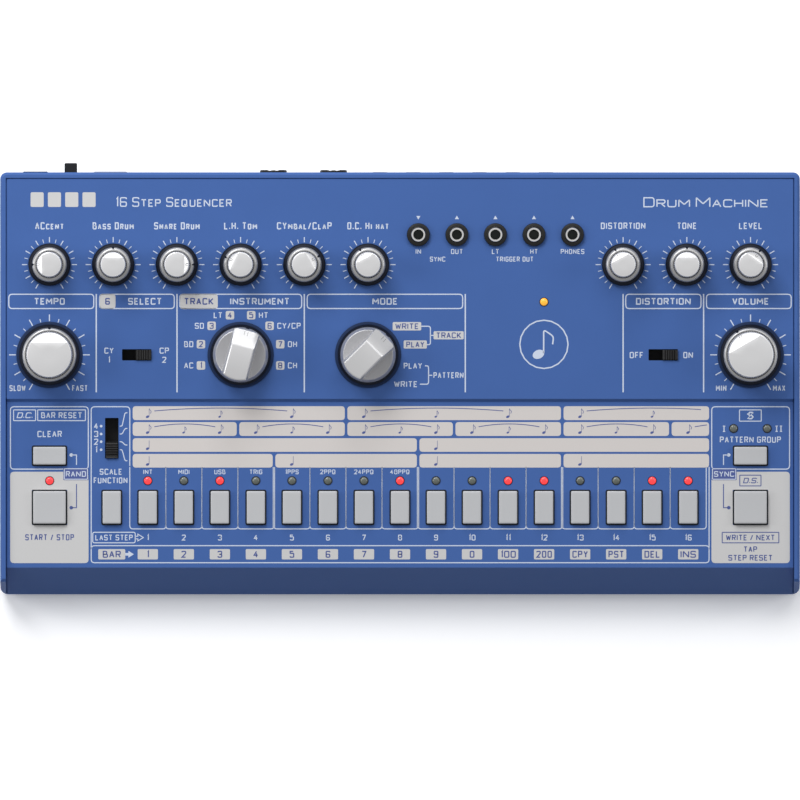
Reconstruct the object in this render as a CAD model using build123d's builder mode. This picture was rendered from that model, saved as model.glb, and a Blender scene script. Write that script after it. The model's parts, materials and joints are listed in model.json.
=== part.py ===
from build123d import *
from math import cos, radians, sin, tan
import os

# A desktop drum machine: a two-part plastic case with a sloping panel of knobs, slide switches,
# push buttons, lamps and sockets, and three circuit boards inside.
# Millimetres. X runs to the right, Y to the rear, Z up; Z = 0 is the table under the feet,
# and X = Y = 0 is the middle of the whole outline, the power switch's lever included.
# The walls stand square to the sloping panel, so the rear wall leans out towards its foot.

# ---------------------------------------------------------------- case
case_width = 305.0
case_depth = 161.0  # down the slope, from the rear wall to the front edge
rear_height = 46.5  # table to the rear edge of the panel
panel_tilt = 8.0  # slope of the panel, rising to the rear
foot_height = 2.0  # table to the underside of the case
seam_height = 6.0  # table to the seam between the two mouldings
step_past_middle = 5.9  # from the middle of the case's depth down the slope to the step
step_run = 1.1
step_drop = 1.2
nose_run = 10.25  # of the steep front face, down the slope
cheek_run = 5.1  # of the steep end of each side rim, down the slope
rim_width = 2.1
rim_proud = 0.3
rim_chamfer = 0.9
case_wall = 2.2
plan_corner = 2.6
groove_width = 0.45
groove_depth = 0.6

# ---------------------------------------------------------------- bottom moulding
tray_inset = 0.35  # shadow line under the seam
tray_floor = 2.2
tray_wall = 2.0
tray_chamfer = 0.8
lip_height = 2.2
lip_thickness = 1.2
lip_clearance = 0.15
foot_radius = 6.5
foot_recess = 0.6
foot_from_side = 22.0
foot_from_rear = 18.0
foot_from_front = 20.0

# ---------------------------------------------------------------- fasteners
screw_radius = 1.4  # thread envelope
screw_head_radius = 2.7
screw_head_height = 1.9
screw_drive = (3.2, 0.7)  # length and width of the cross recess's arms
screw_clearance = 0.05  # thread envelope to the hole it bites in
screw_pass_clearance = 0.35
case_screw_length = 14.0
board_screw_length = 7.0
pilot_end = 1.0  # of a case screw's hole past its tip
boss_radius = 3.5
pillar_radius = 4.2
pillar_height = 4.0  # over the tray's floor
pillar_gap = 0.1
head_recess = 3.4  # from the underside of the tray to the seat of a screw's head
side_boss_inset = 6.7  # case wall to the outer bosses
side_boss_from_rear = 30.0
mid_boss_from_side = 77.5
mid_boss_past_board = 5.0  # from the right end of the rear board
mid_boss_from_rear = 12.0
front_boss_from_front = 14.0
front_boss_x = 48.0

# ---------------------------------------------------------------- controls on the upper panel
# Rows are distances down the slope from the rear edge, columns are distances from the middle.
jack_row = 23.8
small_knob_row = 35.2
lamp_row = 49.4
large_knob_from_step = 16.8  # up the slope from the step
outer_column_from_side = 18.8
inner_column = 12.2
left_columns = 6
right_columns = 3
first_jack_x = 7.0
jack_pitch = 14.7
lamp_x = 54.9
slide_from_column = 33.3  # from the outer column inwards
panel_hole_radius = 3.6
control_gap = 0.4  # under a knob's skirt

# ---------------------------------------------------------------- controls on the lower panel
# Rows are distances down the slope from the foot of the step.
button_from_fold = 22.95  # the long buttons' row, up the slope from the fold
step_lamp_gap = 10.2  # from the long buttons' row back to the lamps over them
short_button_gap = 9.5
group_lamp_gap = 10.4
scale_row = 13.9
steps_from_side = 42.56  # from each side of the case to the first and the last long button
step_count = 16
group_lamp_spacing = 12.8
lit_steps = (1, 3, 8, 11, 12, 15, 16)

# ---------------------------------------------------------------- knobs
shaft_radius = 3.0
shaft_flat = 2.3  # from the axis to the flat of the shaft
shaft_seat = 0.03  # glue-free push seat between shaft and knob
shaft_running = 0.05  # shaft in its bearing
shaft_end_gap = 0.1
knob_wall = 1.3
small_knob = dict(skirt=8.1, shoulder=6.65, grip=5.15, top=4.85, height=13.9, facet=2.9, notch=0.9)
large_knob = dict(skirt=11.6, shoulder=10.35, grip=9.1, top=8.3, height=14.6, facet=4.7, notch=1.1)
skirt_height = 2.6
skirt_taper = 0.4
shoulder_height = 4.1
shoulder_edge = 0.3
shaft_cover = 4.55  # a knob's top over the end of its bore
grip_roof = 5.2  # a large knob's top over its inner ring
facet_slope = 32.0
notch_depth = 0.5
selector_skirt = 11.6
selector_disc = 10.55
selector_ear = 9.45
selector_ear_height = 5.2
selector_height = 14.6
selector_bar_top = 9.0
selector_bar_foot = 10.5
selector_bar_end = 3.35
selector_end_slope = 38.0
selector_shaft_cover = 6.5

# Name and rest angle of each small knob, clockwise from straight up the panel.
small_knobs = (
    ("accent_knob", -90.0), ("bass_drum_knob", 0.0), ("snare_drum_knob", 90.0), ("tom_knob", -63.5),
    ("cymbal_knob", 60.0), ("hi_hat_knob", -28.0), ("distortion_knob", -28.0), ("tone_knob", 0.0),
    ("level_knob", 34.0),
)
tempo_angle = 0.0
volume_angle = -30.0
instrument_angle = 15.0
mode_angle = 45.0

# ---------------------------------------------------------------- electronics under the upper panel
panel_board_depth = 12.4  # panel face to the top of the board
board_thickness = 1.6
board_side_gap = 10.5  # side of the case to the ends of the upper and lower boards
panel_board_start = 19.0
panel_board_from_step = 3.2
post_radius = 2.75
panel_post_row = 52.0
outer_post_from_side = 31.0
inner_post_x = 36.5
pot_width = 9.8
pot_height = 6.6
rotary_width = 17.0
rotary_height = 8.4
bearing_depth = 4.2
bearing_collar = 1.0
slide_body_length = 13.6
slide_body_width = 7.2
slide_body_height = 7.2
slide_slot_length = 11.2
slide_slot_width = 4.3
slide_lever_length = 5.8
slide_lever_width = 3.7
slide_lever_proud = 0.9
slide_travel = 5.2
slide_foot_depth = 2.6  # of a lever's foot in its switch
slide_foot_clearance = 0.1
slide_ridge_pitch = 0.9
slide_ridge_count = 5
slide_ridge_depth = 0.35
jack_body_width = 9.0
jack_body_height = 10.1
jack_bush_radius = 2.8
jack_bore_radius = 1.8
jack_bore_length = 11.0
jack_bush_proud = 1.9
jack_hole_radius = 3.0
nut_radius = 4.45
nut_height = 1.5
nut_clearance = 0.05

# ---------------------------------------------------------------- lamps
lamp_radius = 1.5
lamp_hole_radius = 1.68
lamp_spacer_radius = 2.1
lamp_proud = 0.7
lamp_shoulder = 3.0  # panel face to the top of the spacer
lamp_dome = 1.2  # rounding of its tip

# ---------------------------------------------------------------- buttons
step_button = (7.15, 12.65)
square_button = (12.65, 12.65)
short_button = (12.65, 7.0)
button_gap = 0.36
button_proud = 2.0
button_travel = 0.6
button_bevel = 0.55
button_corner = 0.7
slot_corner = 0.3
button_flange = 1.1
button_flange_height = 1.0
button_flange_gap = 0.1
plunger_radius = 1.65
plunger_running = 0.08
plunger_entry = 1.0
plunger_end_gap = 0.3
button_board_depth = 11.0
button_board_margin = 6.3  # the group lamps' row to the board's rear edge
button_board_from_fold = 8.75
side_post_from_side = 30.9
side_post_gap = 3.3  # the long buttons' row to the side posts
rear_post_inset = 5.0
rear_post_x = (-62.0, 0.0, 62.0)
front_post_inset = 3.5
front_post_x = (-55.0, 55.0)
switch_width = 6.0
switch_height = 3.6
scale_slot = (5.15, 15.5)
scale_body = (7.6, 19.0)
scale_lever = (4.5, 6.2)
scale_travel = 9.0

# ---------------------------------------------------------------- sockets on the rear wall
# The rear board lies parallel to the panel, and levels are heights out of the panel's face.
# Places with from_side are distances from the left side of the case.
io_board_drop = 36.6  # panel face to the top of the board
io_board_from_side = 5.5
io_board_past_jacks = 14.15  # from the last jack's middle to the board's right end
io_board_gap = 0.3  # lip of the tray to the board
io_board_depth = 23.0
io_post_radius = 2.25
io_post_from_rear = 13.0
io_post_from_side = (20.5, 55.5, 88.5)
io_end_post_inset = 4.0
io_rib_from_side = (42.5, 104.5, 157.5, 202.5)
io_rib_length = 15.0
socket_clearance = 0.25
inlet_from_side = 13.1
inlet_width = 9.2
inlet_height = 11.0
inlet_depth = 14.0
inlet_proud = 0.5
inlet_bore_radius = 2.9
inlet_pin_radius = 1.05
inlet_bore_depth = 9.5
usb_from_side = 41.8
usb_width = 12.5
usb_height = 11.0
usb_depth = 16.0
usb_proud = 0.5
usb_mouth = (8.5, 7.8)
usb_mouth_bevel = 1.7
usb_tongue = (5.6, 3.2)
usb_mouth_depth = 9.0
din_from_side = 104.1
din_pitch = 23.0
din_body_width = 18.0
din_body_height = 19.0
din_body_depth = 12.0
din_collar_radius = 7.5
din_ring = 0.8
din_core_radius = 5.15
din_core_proud = 1.1
din_core_bevel = 0.35
din_core_groove = (4.4, 0.3)
din_recess = 7.0
din_key_width = 2.4
din_seat_gap = 0.05  # behind a core, which is pressed in as a piece of its own
line_jack_from_side = 144.85
line_jack_pitch = 12.7
line_jack_count = 6
line_jack_width = 8.0
line_jack_height = 6.6
line_jack_depth = 13.0
line_jack_bush_radius = 2.72
line_jack_proud = 0.3
power_slot_from_side = 28.6
power_lever_width = 4.8
power_lever_height = 3.0
power_lever_proud = 3.8
power_travel = 4.0
power_end_gap = 0.2
power_body_height = 5.4
power_body_depth = 6.5
power_body_side = 0.8
power_foot_depth = 2.5
ribbon_width = 24.0
ribbon_thickness = 1.0
ribbon_from_board_end = 40.0  # right end of the rear board to the cables' middle
ribbon_sag = 4.0
ribbon_end = 4.0  # from a board's edge to a cable's middle

# ---------------------------------------------------------------- derived places
slope = tan(radians(panel_tilt))
across = cos(radians(panel_tilt))
rise = sin(radians(panel_tilt))
line_jack_level = line_jack_height / 2 - io_board_drop
din_level = din_body_height / 2 - io_board_drop
usb_level = usb_height / 2 - io_board_drop
inlet_level = inlet_height / 2 - io_board_drop
power_level = power_body_height / 2 - io_board_drop
front_level = (seam_height - rear_height + case_depth * rise) / across
front_reach = case_depth * across + front_level * rise  # plan distance from the rear edge to the front edge
lever_foot_level = power_level - power_lever_height / 2 + slot_corner
rear_reach = power_lever_proud * across - lever_foot_level * rise  # from the rear edge to the lever's end
total_depth = front_reach + rear_reach
rear_y = total_depth / 2 - rear_reach
front_y = -total_depth / 2
foot_rear_y = rear_y + (rear_height - seam_height) * slope
foot_depth = foot_rear_y - front_y
case_mid_y = (foot_rear_y + front_y) / 2
beyond_y = foot_rear_y + 2 * case_wall
step_row = case_depth / 2 + step_past_middle
step_foot_row = step_row + step_run
fold_row = case_depth - nose_run - step_foot_row
large_knob_row = step_row - large_knob_from_step
button_row = fold_row - button_from_fold
step_lamp_row = button_row - step_lamp_gap
short_button_row = step_lamp_row - short_button_gap
group_lamp_row = short_button_row - group_lamp_gap
outer_column = case_width / 2 - outer_column_from_side
column_pitch = (outer_column - inner_column) / (left_columns - 1)
column_x = [column_pitch * i - outer_column for i in range(left_columns)]
column_x += [outer_column - column_pitch * i for i in reversed(range(right_columns))]
slide_x = outer_column - slide_from_column
jack_x = [first_jack_x + jack_pitch * i for i in range(5)]
function_x = steps_from_side - case_width / 2
step_pitch = -2 * function_x / step_count
step_x = [function_x + step_pitch * (i + 1) for i in range(step_count)]
panel_board_width = case_width - 2 * board_side_gap
panel_board_end = step_row - panel_board_from_step
button_board_start = group_lamp_row - button_board_margin
button_board_end = fold_row - button_board_from_fold
left_x = -case_width / 2
io_board_left = left_x + io_board_from_side
inlet_x = left_x + inlet_from_side
power_slot_x = left_x + power_slot_from_side
usb_x = left_x + usb_from_side
din_x = [left_x + din_from_side + din_pitch * i for i in range(2)]
line_jack_spots = [left_x + line_jack_from_side + line_jack_pitch * i for i in range(line_jack_count)]
io_board_right = line_jack_spots[-1] + io_board_past_jacks
io_post_x = [left_x + x for x in io_post_from_side] + [io_board_right - io_end_post_inset]
ribbon_x = io_board_right - ribbon_from_board_end


def panel_z(y):
    """Height of the upper panel's face over the table at a depth y."""
    return rear_height - (rear_y - y) * slope


def side_point(row, level):
    """Depth and height over the table of a point given down the slope and out of the panel's face."""
    return (rear_y - row * across - level * rise, rear_height - row * rise + level * across)


def slope_plane(row, level):
    """A plane that lies in the slope of the panel: its y runs up the slope and its z out of the face."""
    return Plane(origin=(0, *side_point(row, level)), x_dir=(1, 0, 0), z_dir=(0, -rise, across))


upper = slope_plane(0, 0)
lower = slope_plane(step_foot_row, -step_drop)
step_top_y = side_point(step_row, 0)[0]
fold_y, fold_z = side_point(step_foot_row + fold_row, -step_drop)


def turned(plane, x, row, angle):
    """The plane moved to a control's axis and turned clockwise, so that its y is the pointer's direction."""
    centre = plane.from_local_coords(Vector(x, -row, 0))
    heading = plane.x_dir * cos(radians(angle)) - plane.y_dir * sin(radians(angle))
    return Plane(origin=centre, x_dir=heading, z_dir=plane.z_dir)


def export(piece, name):
    piece.part.label = name
    export_step(piece.part, f"parts/{name}.step")


os.makedirs("parts", exist_ok=True)

# Places of the eight case screws, as plan positions with the boss that each one drives into.
side_boss_x = case_width / 2 - side_boss_inset
mid_boss_x = (left_x + mid_boss_from_side, io_board_right + mid_boss_past_board)
case_screw_spots = [
    (side * side_boss_x, rear_y - side_boss_from_rear) for side in (-1, 1)
] + [
    (x, rear_y - mid_boss_from_rear) for x in mid_boss_x
] + [
    (x, front_y + front_boss_from_front) for x in (-side_boss_x, -front_boss_x, front_boss_x, side_boss_x)
]
tray_top = foot_height + tray_floor
pillar_top = tray_top + pillar_height
screw_seat = foot_height + head_recess

# ---------------------------------------------------------------- side outlines
# Outline of the case seen from the side with the panel's face on top, and the same one with the rim's.
# Both run on past the rear wall, which is cut by the plan.
panel_line = [
    side_point(step_row, 0), side_point(step_foot_row, -step_drop), (fold_y, fold_z), (front_y, seam_height)
]
with BuildSketch(Plane.YZ) as panel_outline:
    with BuildLine():
        Polyline((beyond_y, panel_z(beyond_y)), *panel_line, (front_y, 0), (beyond_y, 0), close=True)
    make_face()

with BuildSketch(Plane.YZ) as rim_outline:
    with BuildLine():
        Polyline(
            (beyond_y, panel_z(beyond_y) + rim_proud / across),
            side_point(case_depth - cheek_run, rim_proud),
            (front_y, seam_height),
            (beyond_y, seam_height),
            close=True,
        )
    make_face()

# Everything over the panel's face between the rims.
with BuildSketch(Plane.YZ) as over_panel:
    with BuildLine():
        Polyline(
            side_point(rim_width, 0),
            *panel_line,
            (front_y - case_wall, seam_height),
            (front_y - case_wall, rear_height + case_wall),
            side_point(rim_width, 2 * case_wall),
            close=True,
        )
    make_face()

# The case under the depth of the groove that runs beside each rim.
with BuildSketch(Plane.YZ) as groove_floor:
    add(panel_outline.sketch_local)
    offset(amount=-groove_depth, kind=Kind.INTERSECTION, mode=Mode.REPLACE)

# The hollow of the case: inside the walls in plan, and one wall under the panel's face.
with BuildPart() as hollow:
    with BuildSketch(upper.offset(-rear_height)) as hollow_plan:
        with Locations((0, -case_depth / 2)):
            RectangleRounded(case_width - 2 * case_wall, case_depth - 2 * case_wall, plan_corner)
    extrude(amount=rear_height)
    with BuildSketch(Plane.YZ) as hollow_side:
        add(panel_outline.sketch_local)
        offset(amount=-case_wall, kind=Kind.INTERSECTION, mode=Mode.REPLACE)
    extrude(amount=case_width, both=True, mode=Mode.INTERSECT)

# The two grooves that part the panel from the side rims, and the one along the rear rim.
groove_x = case_width / 2 - rim_width - groove_width / 2
with BuildPart() as grooves:
    for side in (-1, 1):
        with BuildSketch(Plane.YZ.offset(side * groove_x - groove_width / 2)) as groove_side:
            add(over_panel.sketch_local)
            add(panel_outline.sketch_local)
            add(groove_floor.sketch_local, mode=Mode.SUBTRACT)
            with Locations((case_mid_y, 0)):
                Rectangle(2 * total_depth, 2 * (seam_height + groove_depth), mode=Mode.SUBTRACT)
            with Locations(Location((*side_point(rim_width - rear_height, 0), 0), (0, 0, panel_tilt))):
                Rectangle(2 * rear_height, 4 * rear_height, mode=Mode.SUBTRACT)
        extrude(amount=groove_width)
    with BuildSketch(upper.offset(-groove_depth)) as groove_rear:
        with Locations((0, -rim_width - groove_width / 2)):
            Rectangle(case_width - 2 * rim_width, groove_width)
    extrude(amount=2 * groove_depth)

# ---------------------------------------------------------------- places of the controls
small_knob_spots = [(x, -small_knob_row) for x in column_x]
large_knob_x = (-outer_column, outer_column)
selector_x = (column_x[3], column_x[5])
large_spots = [(x, -large_knob_row) for x in large_knob_x + selector_x]
slide_spots = [(side * slide_x, -large_knob_row) for side in (-1, 1)]
jack_spots = [(x, -jack_row) for x in jack_x]
narrow_spots = [(x, -button_row) for x in [function_x] + step_x]
square_spots = [(side * outer_column, -button_row) for side in (-1, 1)]
short_spots = [(side * outer_column, -short_button_row) for side in (-1, 1)]
scale_spot = (function_x, -scale_row)
step_lamp_spots = [(x, -step_lamp_row) for x in step_x]
start_lamp_spot = (-outer_column, -step_lamp_row)
group_lamp_spots = [(outer_column + side * group_lamp_spacing / 2, -group_lamp_row) for side in (-1, 1)]
status_lamp_spot = (lamp_x, -lamp_row)
button_kinds = ((step_button, narrow_spots), (square_button, square_spots), (short_button, short_spots))
outer_post_x = case_width / 2 - outer_post_from_side
side_post_x = case_width / 2 - side_post_from_side
panel_posts = [(x, -panel_post_row) for x in (-outer_post_x, -inner_post_x, inner_post_x, outer_post_x)]
button_posts = [(x, -button_row - side_post_gap) for x in (-side_post_x, side_post_x)]
button_posts += [(x, -button_board_start - rear_post_inset) for x in rear_post_x]
button_posts += [(x, front_post_inset - button_board_end) for x in front_post_x]
io_posts = [(x, -io_post_from_rear) for x in io_post_x]
lip_rear_y = rear_y + (rear_height - seam_height - lip_height) * slope - case_wall / across - lip_clearance
io_rear_y = lip_rear_y - lip_thickness - io_board_gap
io_board_row = (rear_y - io_rear_y + (io_board_drop + board_thickness) * rise) / across
inner_rear_row = case_wall + socket_clearance
power_lever_x = power_slot_x - power_travel / 2
power_slot_length = power_lever_width + power_travel + 2 * power_end_gap
pilot_radius = screw_radius + screw_clearance


def case_roof(y):
    """Height of the underside of the panel over the table at a depth y."""
    drop = 0 if y > step_top_y else step_drop
    return panel_z(y) - (drop + case_wall) / across


# ---------------------------------------------------------------- top_case
# The upper moulding: panel, rims, walls, nose, bosses for the case screws and posts for the boards.
with BuildPart() as top_case:
    with BuildSketch(upper.offset(-rear_height)) as case_plan:
        with Locations((0, -case_depth / 2)):
            RectangleRounded(case_width, case_depth, plan_corner)
    extrude(amount=2 * rear_height)
    with BuildSketch(Plane.YZ) as case_side:
        add(rim_outline.sketch_local)
    extrude(amount=case_width, both=True, mode=Mode.INTERSECT)
    rim_top = top_case.faces().sort_by(Axis.Z)[-1]
    chamfer(rim_top.outer_wire().edges(), rim_chamfer)
    with BuildSketch(Plane.YZ) as recess_side:
        add(over_panel.sketch_local)
    extrude(amount=case_width / 2 - rim_width, both=True, mode=Mode.SUBTRACT)
    add(grooves.part, mode=Mode.SUBTRACT)
    add(hollow.part, mode=Mode.SUBTRACT)

    # Bosses for the case screws stand up to the roof, and run half a wall into it.
    for x, y in case_screw_spots:
        with BuildSketch(Plane.XY.offset(pillar_top + pillar_gap)) as boss:
            with Locations((x, y)):
                Circle(boss_radius)
        extrude(amount=case_roof(y) + case_wall / 2 - pillar_top - pillar_gap)
    with BuildSketch(upper.offset(-io_board_drop)) as rear_posts:
        with Locations(*io_posts):
            Circle(io_post_radius)
    extrude(amount=io_board_drop - case_wall / 2)
    with BuildSketch(upper.offset(-panel_board_depth)) as posts:
        with Locations(*panel_posts):
            Circle(post_radius)
    extrude(amount=panel_board_depth - case_wall / 2)
    with BuildSketch(lower.offset(-button_board_depth)) as front_posts:
        with Locations(*button_posts):
            Circle(post_radius)
    extrude(amount=button_board_depth - case_wall / 2)

    # Pilot holes for the screws.
    with BuildSketch(Plane.XY.offset(pillar_top + pillar_gap)) as case_pilots:
        with Locations(*case_screw_spots):
            Circle(pilot_radius)
    extrude(amount=screw_seat + case_screw_length + pilot_end - pillar_top, mode=Mode.SUBTRACT)
    with BuildSketch(upper.offset(-io_board_drop)) as io_pilots:
        with Locations(*io_posts):
            Circle(pilot_radius)
    extrude(amount=board_screw_length, mode=Mode.SUBTRACT)
    with BuildSketch(upper.offset(-panel_board_depth)) as panel_pilots:
        with Locations(*panel_posts):
            Circle(pilot_radius)
    extrude(amount=board_screw_length, mode=Mode.SUBTRACT)
    with BuildSketch(lower.offset(-button_board_depth)) as button_pilots:
        with Locations(*button_posts):
            Circle(pilot_radius)
    extrude(amount=board_screw_length, mode=Mode.SUBTRACT)

    # Openings in the upper panel.
    with BuildSketch(upper.offset(-2 * case_wall)) as upper_openings:
        with Locations(*small_knob_spots, *large_spots):
            Circle(panel_hole_radius)
        with Locations(*jack_spots):
            Circle(jack_hole_radius)
        with Locations(*slide_spots):
            RectangleRounded(slide_slot_length, slide_slot_width, slot_corner)
        with Locations(status_lamp_spot):
            Circle(lamp_hole_radius)
    extrude(amount=3 * case_wall, mode=Mode.SUBTRACT)

    # Openings in the lower panel.
    with BuildSketch(lower.offset(-2 * case_wall)) as lower_openings:
        for (width, length), spots in button_kinds:
            with Locations(*spots):
                RectangleRounded(width + 2 * button_gap, length + 2 * button_gap, button_corner + button_gap)
        with Locations(scale_spot):
            RectangleRounded(*scale_slot, slot_corner)
        with Locations(*step_lamp_spots, start_lamp_spot, *group_lamp_spots):
            Circle(lamp_hole_radius)
    extrude(amount=3 * case_wall, mode=Mode.SUBTRACT)

    # Openings in the rear wall, for the sockets and the power switch's lever.
    rear_plane = Plane(origin=(0, *side_point(-case_wall, 0)), x_dir=(1, 0, 0), z_dir=(0, -across, -rise))
    with BuildSketch(rear_plane) as rear_openings:
        with Locations((inlet_x, inlet_level)):
            Rectangle(inlet_width + 2 * socket_clearance, inlet_height + 2 * socket_clearance)
        with Locations((usb_x, usb_level)):
            Rectangle(usb_width + 2 * socket_clearance, usb_height + 2 * socket_clearance)
        with Locations(*[(x, din_level) for x in din_x]):
            Circle(din_collar_radius + socket_clearance)
        with Locations(*[(x, line_jack_level) for x in line_jack_spots]):
            Circle(line_jack_bush_radius + socket_clearance)
        with Locations((power_slot_x, power_level)):
            Rectangle(power_slot_length, power_lever_height + 2 * socket_clearance)
    extrude(amount=3 * case_wall, mode=Mode.SUBTRACT)
export(top_case, "top_case")

# ---------------------------------------------------------------- bottom_case
# The tray under the seam: floor, low walls, a lip that centres the upper moulding, screw pillars,
# ribs under the rear board and shallow seats for the feet.
tray_width = case_width - 2 * tray_inset
tray_depth = foot_depth - 2 * tray_inset
lip_width = case_width - 2 * (case_wall + lip_clearance)
nose_lean = (fold_y - front_y) / (fold_z - seam_height)
lip_front_y = front_y + case_wall + lip_clearance + (lip_height + case_wall) * nose_lean
lip_depth = lip_rear_y - lip_front_y
foot_x = case_width / 2 - foot_from_side
foot_rows = (front_y + foot_from_front, foot_rear_y - foot_from_rear)
foot_spots = [(side * foot_x, y) for y in foot_rows for side in (-1, 1)]
io_rib_y = io_rear_y - io_board_depth / 2 * across


def io_underside(y):
    """Height of the underside of the rear board over the table at a depth y."""
    return panel_z(y) - (io_board_drop + board_thickness) / across


with BuildPart() as bottom_case:
    with BuildSketch(Plane.XY.offset(foot_height)) as tray_plan:
        with Locations((0, case_mid_y)):
            RectangleRounded(tray_width, tray_depth, plan_corner)
    extrude(amount=seam_height - foot_height)
    chamfer(bottom_case.faces().sort_by(Axis.Z)[0].outer_wire().edges(), tray_chamfer)
    with BuildSketch(Plane.XY.offset(tray_top)) as tray_hollow:
        with Locations((0, case_mid_y)):
            RectangleRounded(tray_width - 2 * tray_wall, tray_depth - 2 * tray_wall, plan_corner)
    extrude(amount=seam_height, mode=Mode.SUBTRACT)
    with BuildSketch(Plane.XY.offset(tray_top)) as lip:
        with Locations((0, (lip_front_y + lip_rear_y) / 2)):
            RectangleRounded(lip_width, lip_depth, plan_corner)
            RectangleRounded(
                lip_width - 2 * lip_thickness, lip_depth - 2 * lip_thickness, plan_corner, mode=Mode.SUBTRACT
            )
    extrude(amount=seam_height + lip_height - tray_top)
    with BuildSketch(Plane.XY.offset(tray_top)) as pillars:
        with Locations(*case_screw_spots):
            Circle(pillar_radius)
    extrude(amount=pillar_height)
    rib_ends = (io_rib_y - io_rib_length / 2, io_rib_y + io_rib_length / 2)
    for x in io_rib_from_side:
        with BuildSketch(Plane.YZ.offset(left_x + x - lip_thickness / 2)) as rib:
            with BuildLine():
                Polyline(
                    (rib_ends[0], tray_top), (rib_ends[1], tray_top), (rib_ends[1], io_underside(rib_ends[1])),
                    (rib_ends[0], io_underside(rib_ends[0])), close=True,
                )
            make_face()
        extrude(amount=lip_thickness)
    with BuildSketch(Plane.XY.offset(foot_height)) as head_recesses:
        with Locations(*case_screw_spots):
            Circle(screw_head_radius + screw_pass_clearance)
    extrude(amount=head_recess, mode=Mode.SUBTRACT)
    with BuildSketch(Plane.XY.offset(foot_height)) as screw_ways:
        with Locations(*case_screw_spots):
            Circle(screw_radius + screw_pass_clearance)
    extrude(amount=pillar_top, mode=Mode.SUBTRACT)
    with BuildSketch(Plane.XY.offset(foot_height)) as foot_seats:
        with Locations(*foot_spots):
            Circle(foot_radius + socket_clearance)
    extrude(amount=foot_recess, mode=Mode.SUBTRACT)
export(bottom_case, "bottom_case")

# ---------------------------------------------------------------- rubber_feet
with BuildPart() as rubber_feet:
    with BuildSketch(Plane.XY) as feet:
        with Locations(*foot_spots):
            Circle(foot_radius)
    extrude(amount=foot_height + foot_recess)
    chamfer(rubber_feet.edges().group_by(Axis.Z)[0], foot_recess)
export(rubber_feet, "rubber_feet")

# ---------------------------------------------------------------- screws
# Thread-forming pan-head screws: long ones up through the tray, short ones through the boards.
screw_sets = (
    (Plane.XY.offset(screw_seat), case_screw_spots, case_screw_length),
    (upper.offset(-io_board_drop - board_thickness), io_posts, board_screw_length),
    (upper.offset(-panel_board_depth - board_thickness), panel_posts, board_screw_length),
    (lower.offset(-button_board_depth - board_thickness), button_posts, board_screw_length),
)
with BuildPart() as screws:
    for seat, spots, length in screw_sets:
        with BuildSketch(seat) as shanks:
            with Locations(*spots):
                Circle(screw_radius)
        extrude(amount=length)
        with BuildSketch(seat) as heads:
            with Locations(*spots):
                Circle(screw_head_radius)
        extrude(amount=-screw_head_height)
        with BuildSketch(seat.offset(-screw_head_height)) as drives:
            with Locations(*spots):
                Rectangle(*screw_drive)
                Rectangle(*reversed(screw_drive))
        extrude(amount=screw_head_height / 2, mode=Mode.SUBTRACT)
export(screws, "screws")

# ---------------------------------------------------------------- boards
board_hole = screw_radius + screw_pass_clearance
with BuildPart() as panel_board:
    with BuildSketch(upper.offset(-panel_board_depth)) as panel_board_plan:
        with Locations((0, -(panel_board_start + panel_board_end) / 2)):
            Rectangle(panel_board_width, panel_board_end - panel_board_start)
        with Locations(*panel_posts):
            Circle(board_hole, mode=Mode.SUBTRACT)
    extrude(amount=-board_thickness)
export(panel_board, "panel_board")

with BuildPart() as button_board:
    with BuildSketch(lower.offset(-button_board_depth)) as button_board_plan:
        with Locations((0, -(button_board_start + button_board_end) / 2)):
            Rectangle(panel_board_width, button_board_end - button_board_start)
        with Locations(*button_posts):
            Circle(board_hole, mode=Mode.SUBTRACT)
    extrude(amount=-board_thickness)
export(button_board, "button_board")

with BuildPart() as io_board:
    with BuildSketch(upper.offset(-io_board_drop)) as io_board_plan:
        with Locations(((io_board_left + io_board_right) / 2, -io_board_row - io_board_depth / 2)):
            Rectangle(io_board_right - io_board_left, io_board_depth)
        with Locations(*io_posts):
            Circle(board_hole, mode=Mode.SUBTRACT)
    extrude(amount=-board_thickness)
    with BuildSketch(Plane.XY) as pillar_room:
        with Locations(*case_screw_spots):
            Circle(pillar_radius + socket_clearance)
    extrude(amount=rear_height, mode=Mode.SUBTRACT)
export(io_board, "io_board")

# ---------------------------------------------------------------- pot_bodies, rotary_switch_bodies
pot_top = pot_height + bearing_collar - panel_board_depth
rotary_top = rotary_height + bearing_collar - panel_board_depth
pot_spots = small_knob_spots + [(x, -large_knob_row) for x in large_knob_x]
rotary_spots = [(x, -large_knob_row) for x in selector_x]


def bearing_bodies(spots, width, height, collar_radius):
    """Bodies that stand on the upper board, each with a collar and a blind bearing for a shaft."""
    with BuildPart() as bodies:
        with BuildSketch(upper.offset(-panel_board_depth)) as cans:
            with Locations(*spots):
                RectangleRounded(width, width, button_corner)
        extrude(amount=height)
        with BuildSketch(upper.offset(height - panel_board_depth)) as collars:
            with Locations(*spots):
                Circle(collar_radius)
        extrude(amount=bearing_collar)
        with BuildSketch(upper.offset(height + bearing_collar - panel_board_depth)) as bearings:
            with Locations(*spots):
                Circle(shaft_radius + shaft_running)
        extrude(amount=-bearing_depth, mode=Mode.SUBTRACT)
    return bodies


pot_bodies = bearing_bodies(pot_spots, pot_width, pot_height, shaft_radius + knob_wall / 2)
export(pot_bodies, "pot_bodies")
rotary_switch_bodies = bearing_bodies(rotary_spots, rotary_width, rotary_height, shaft_radius + knob_wall)
export(rotary_switch_bodies, "rotary_switch_bodies")

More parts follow.
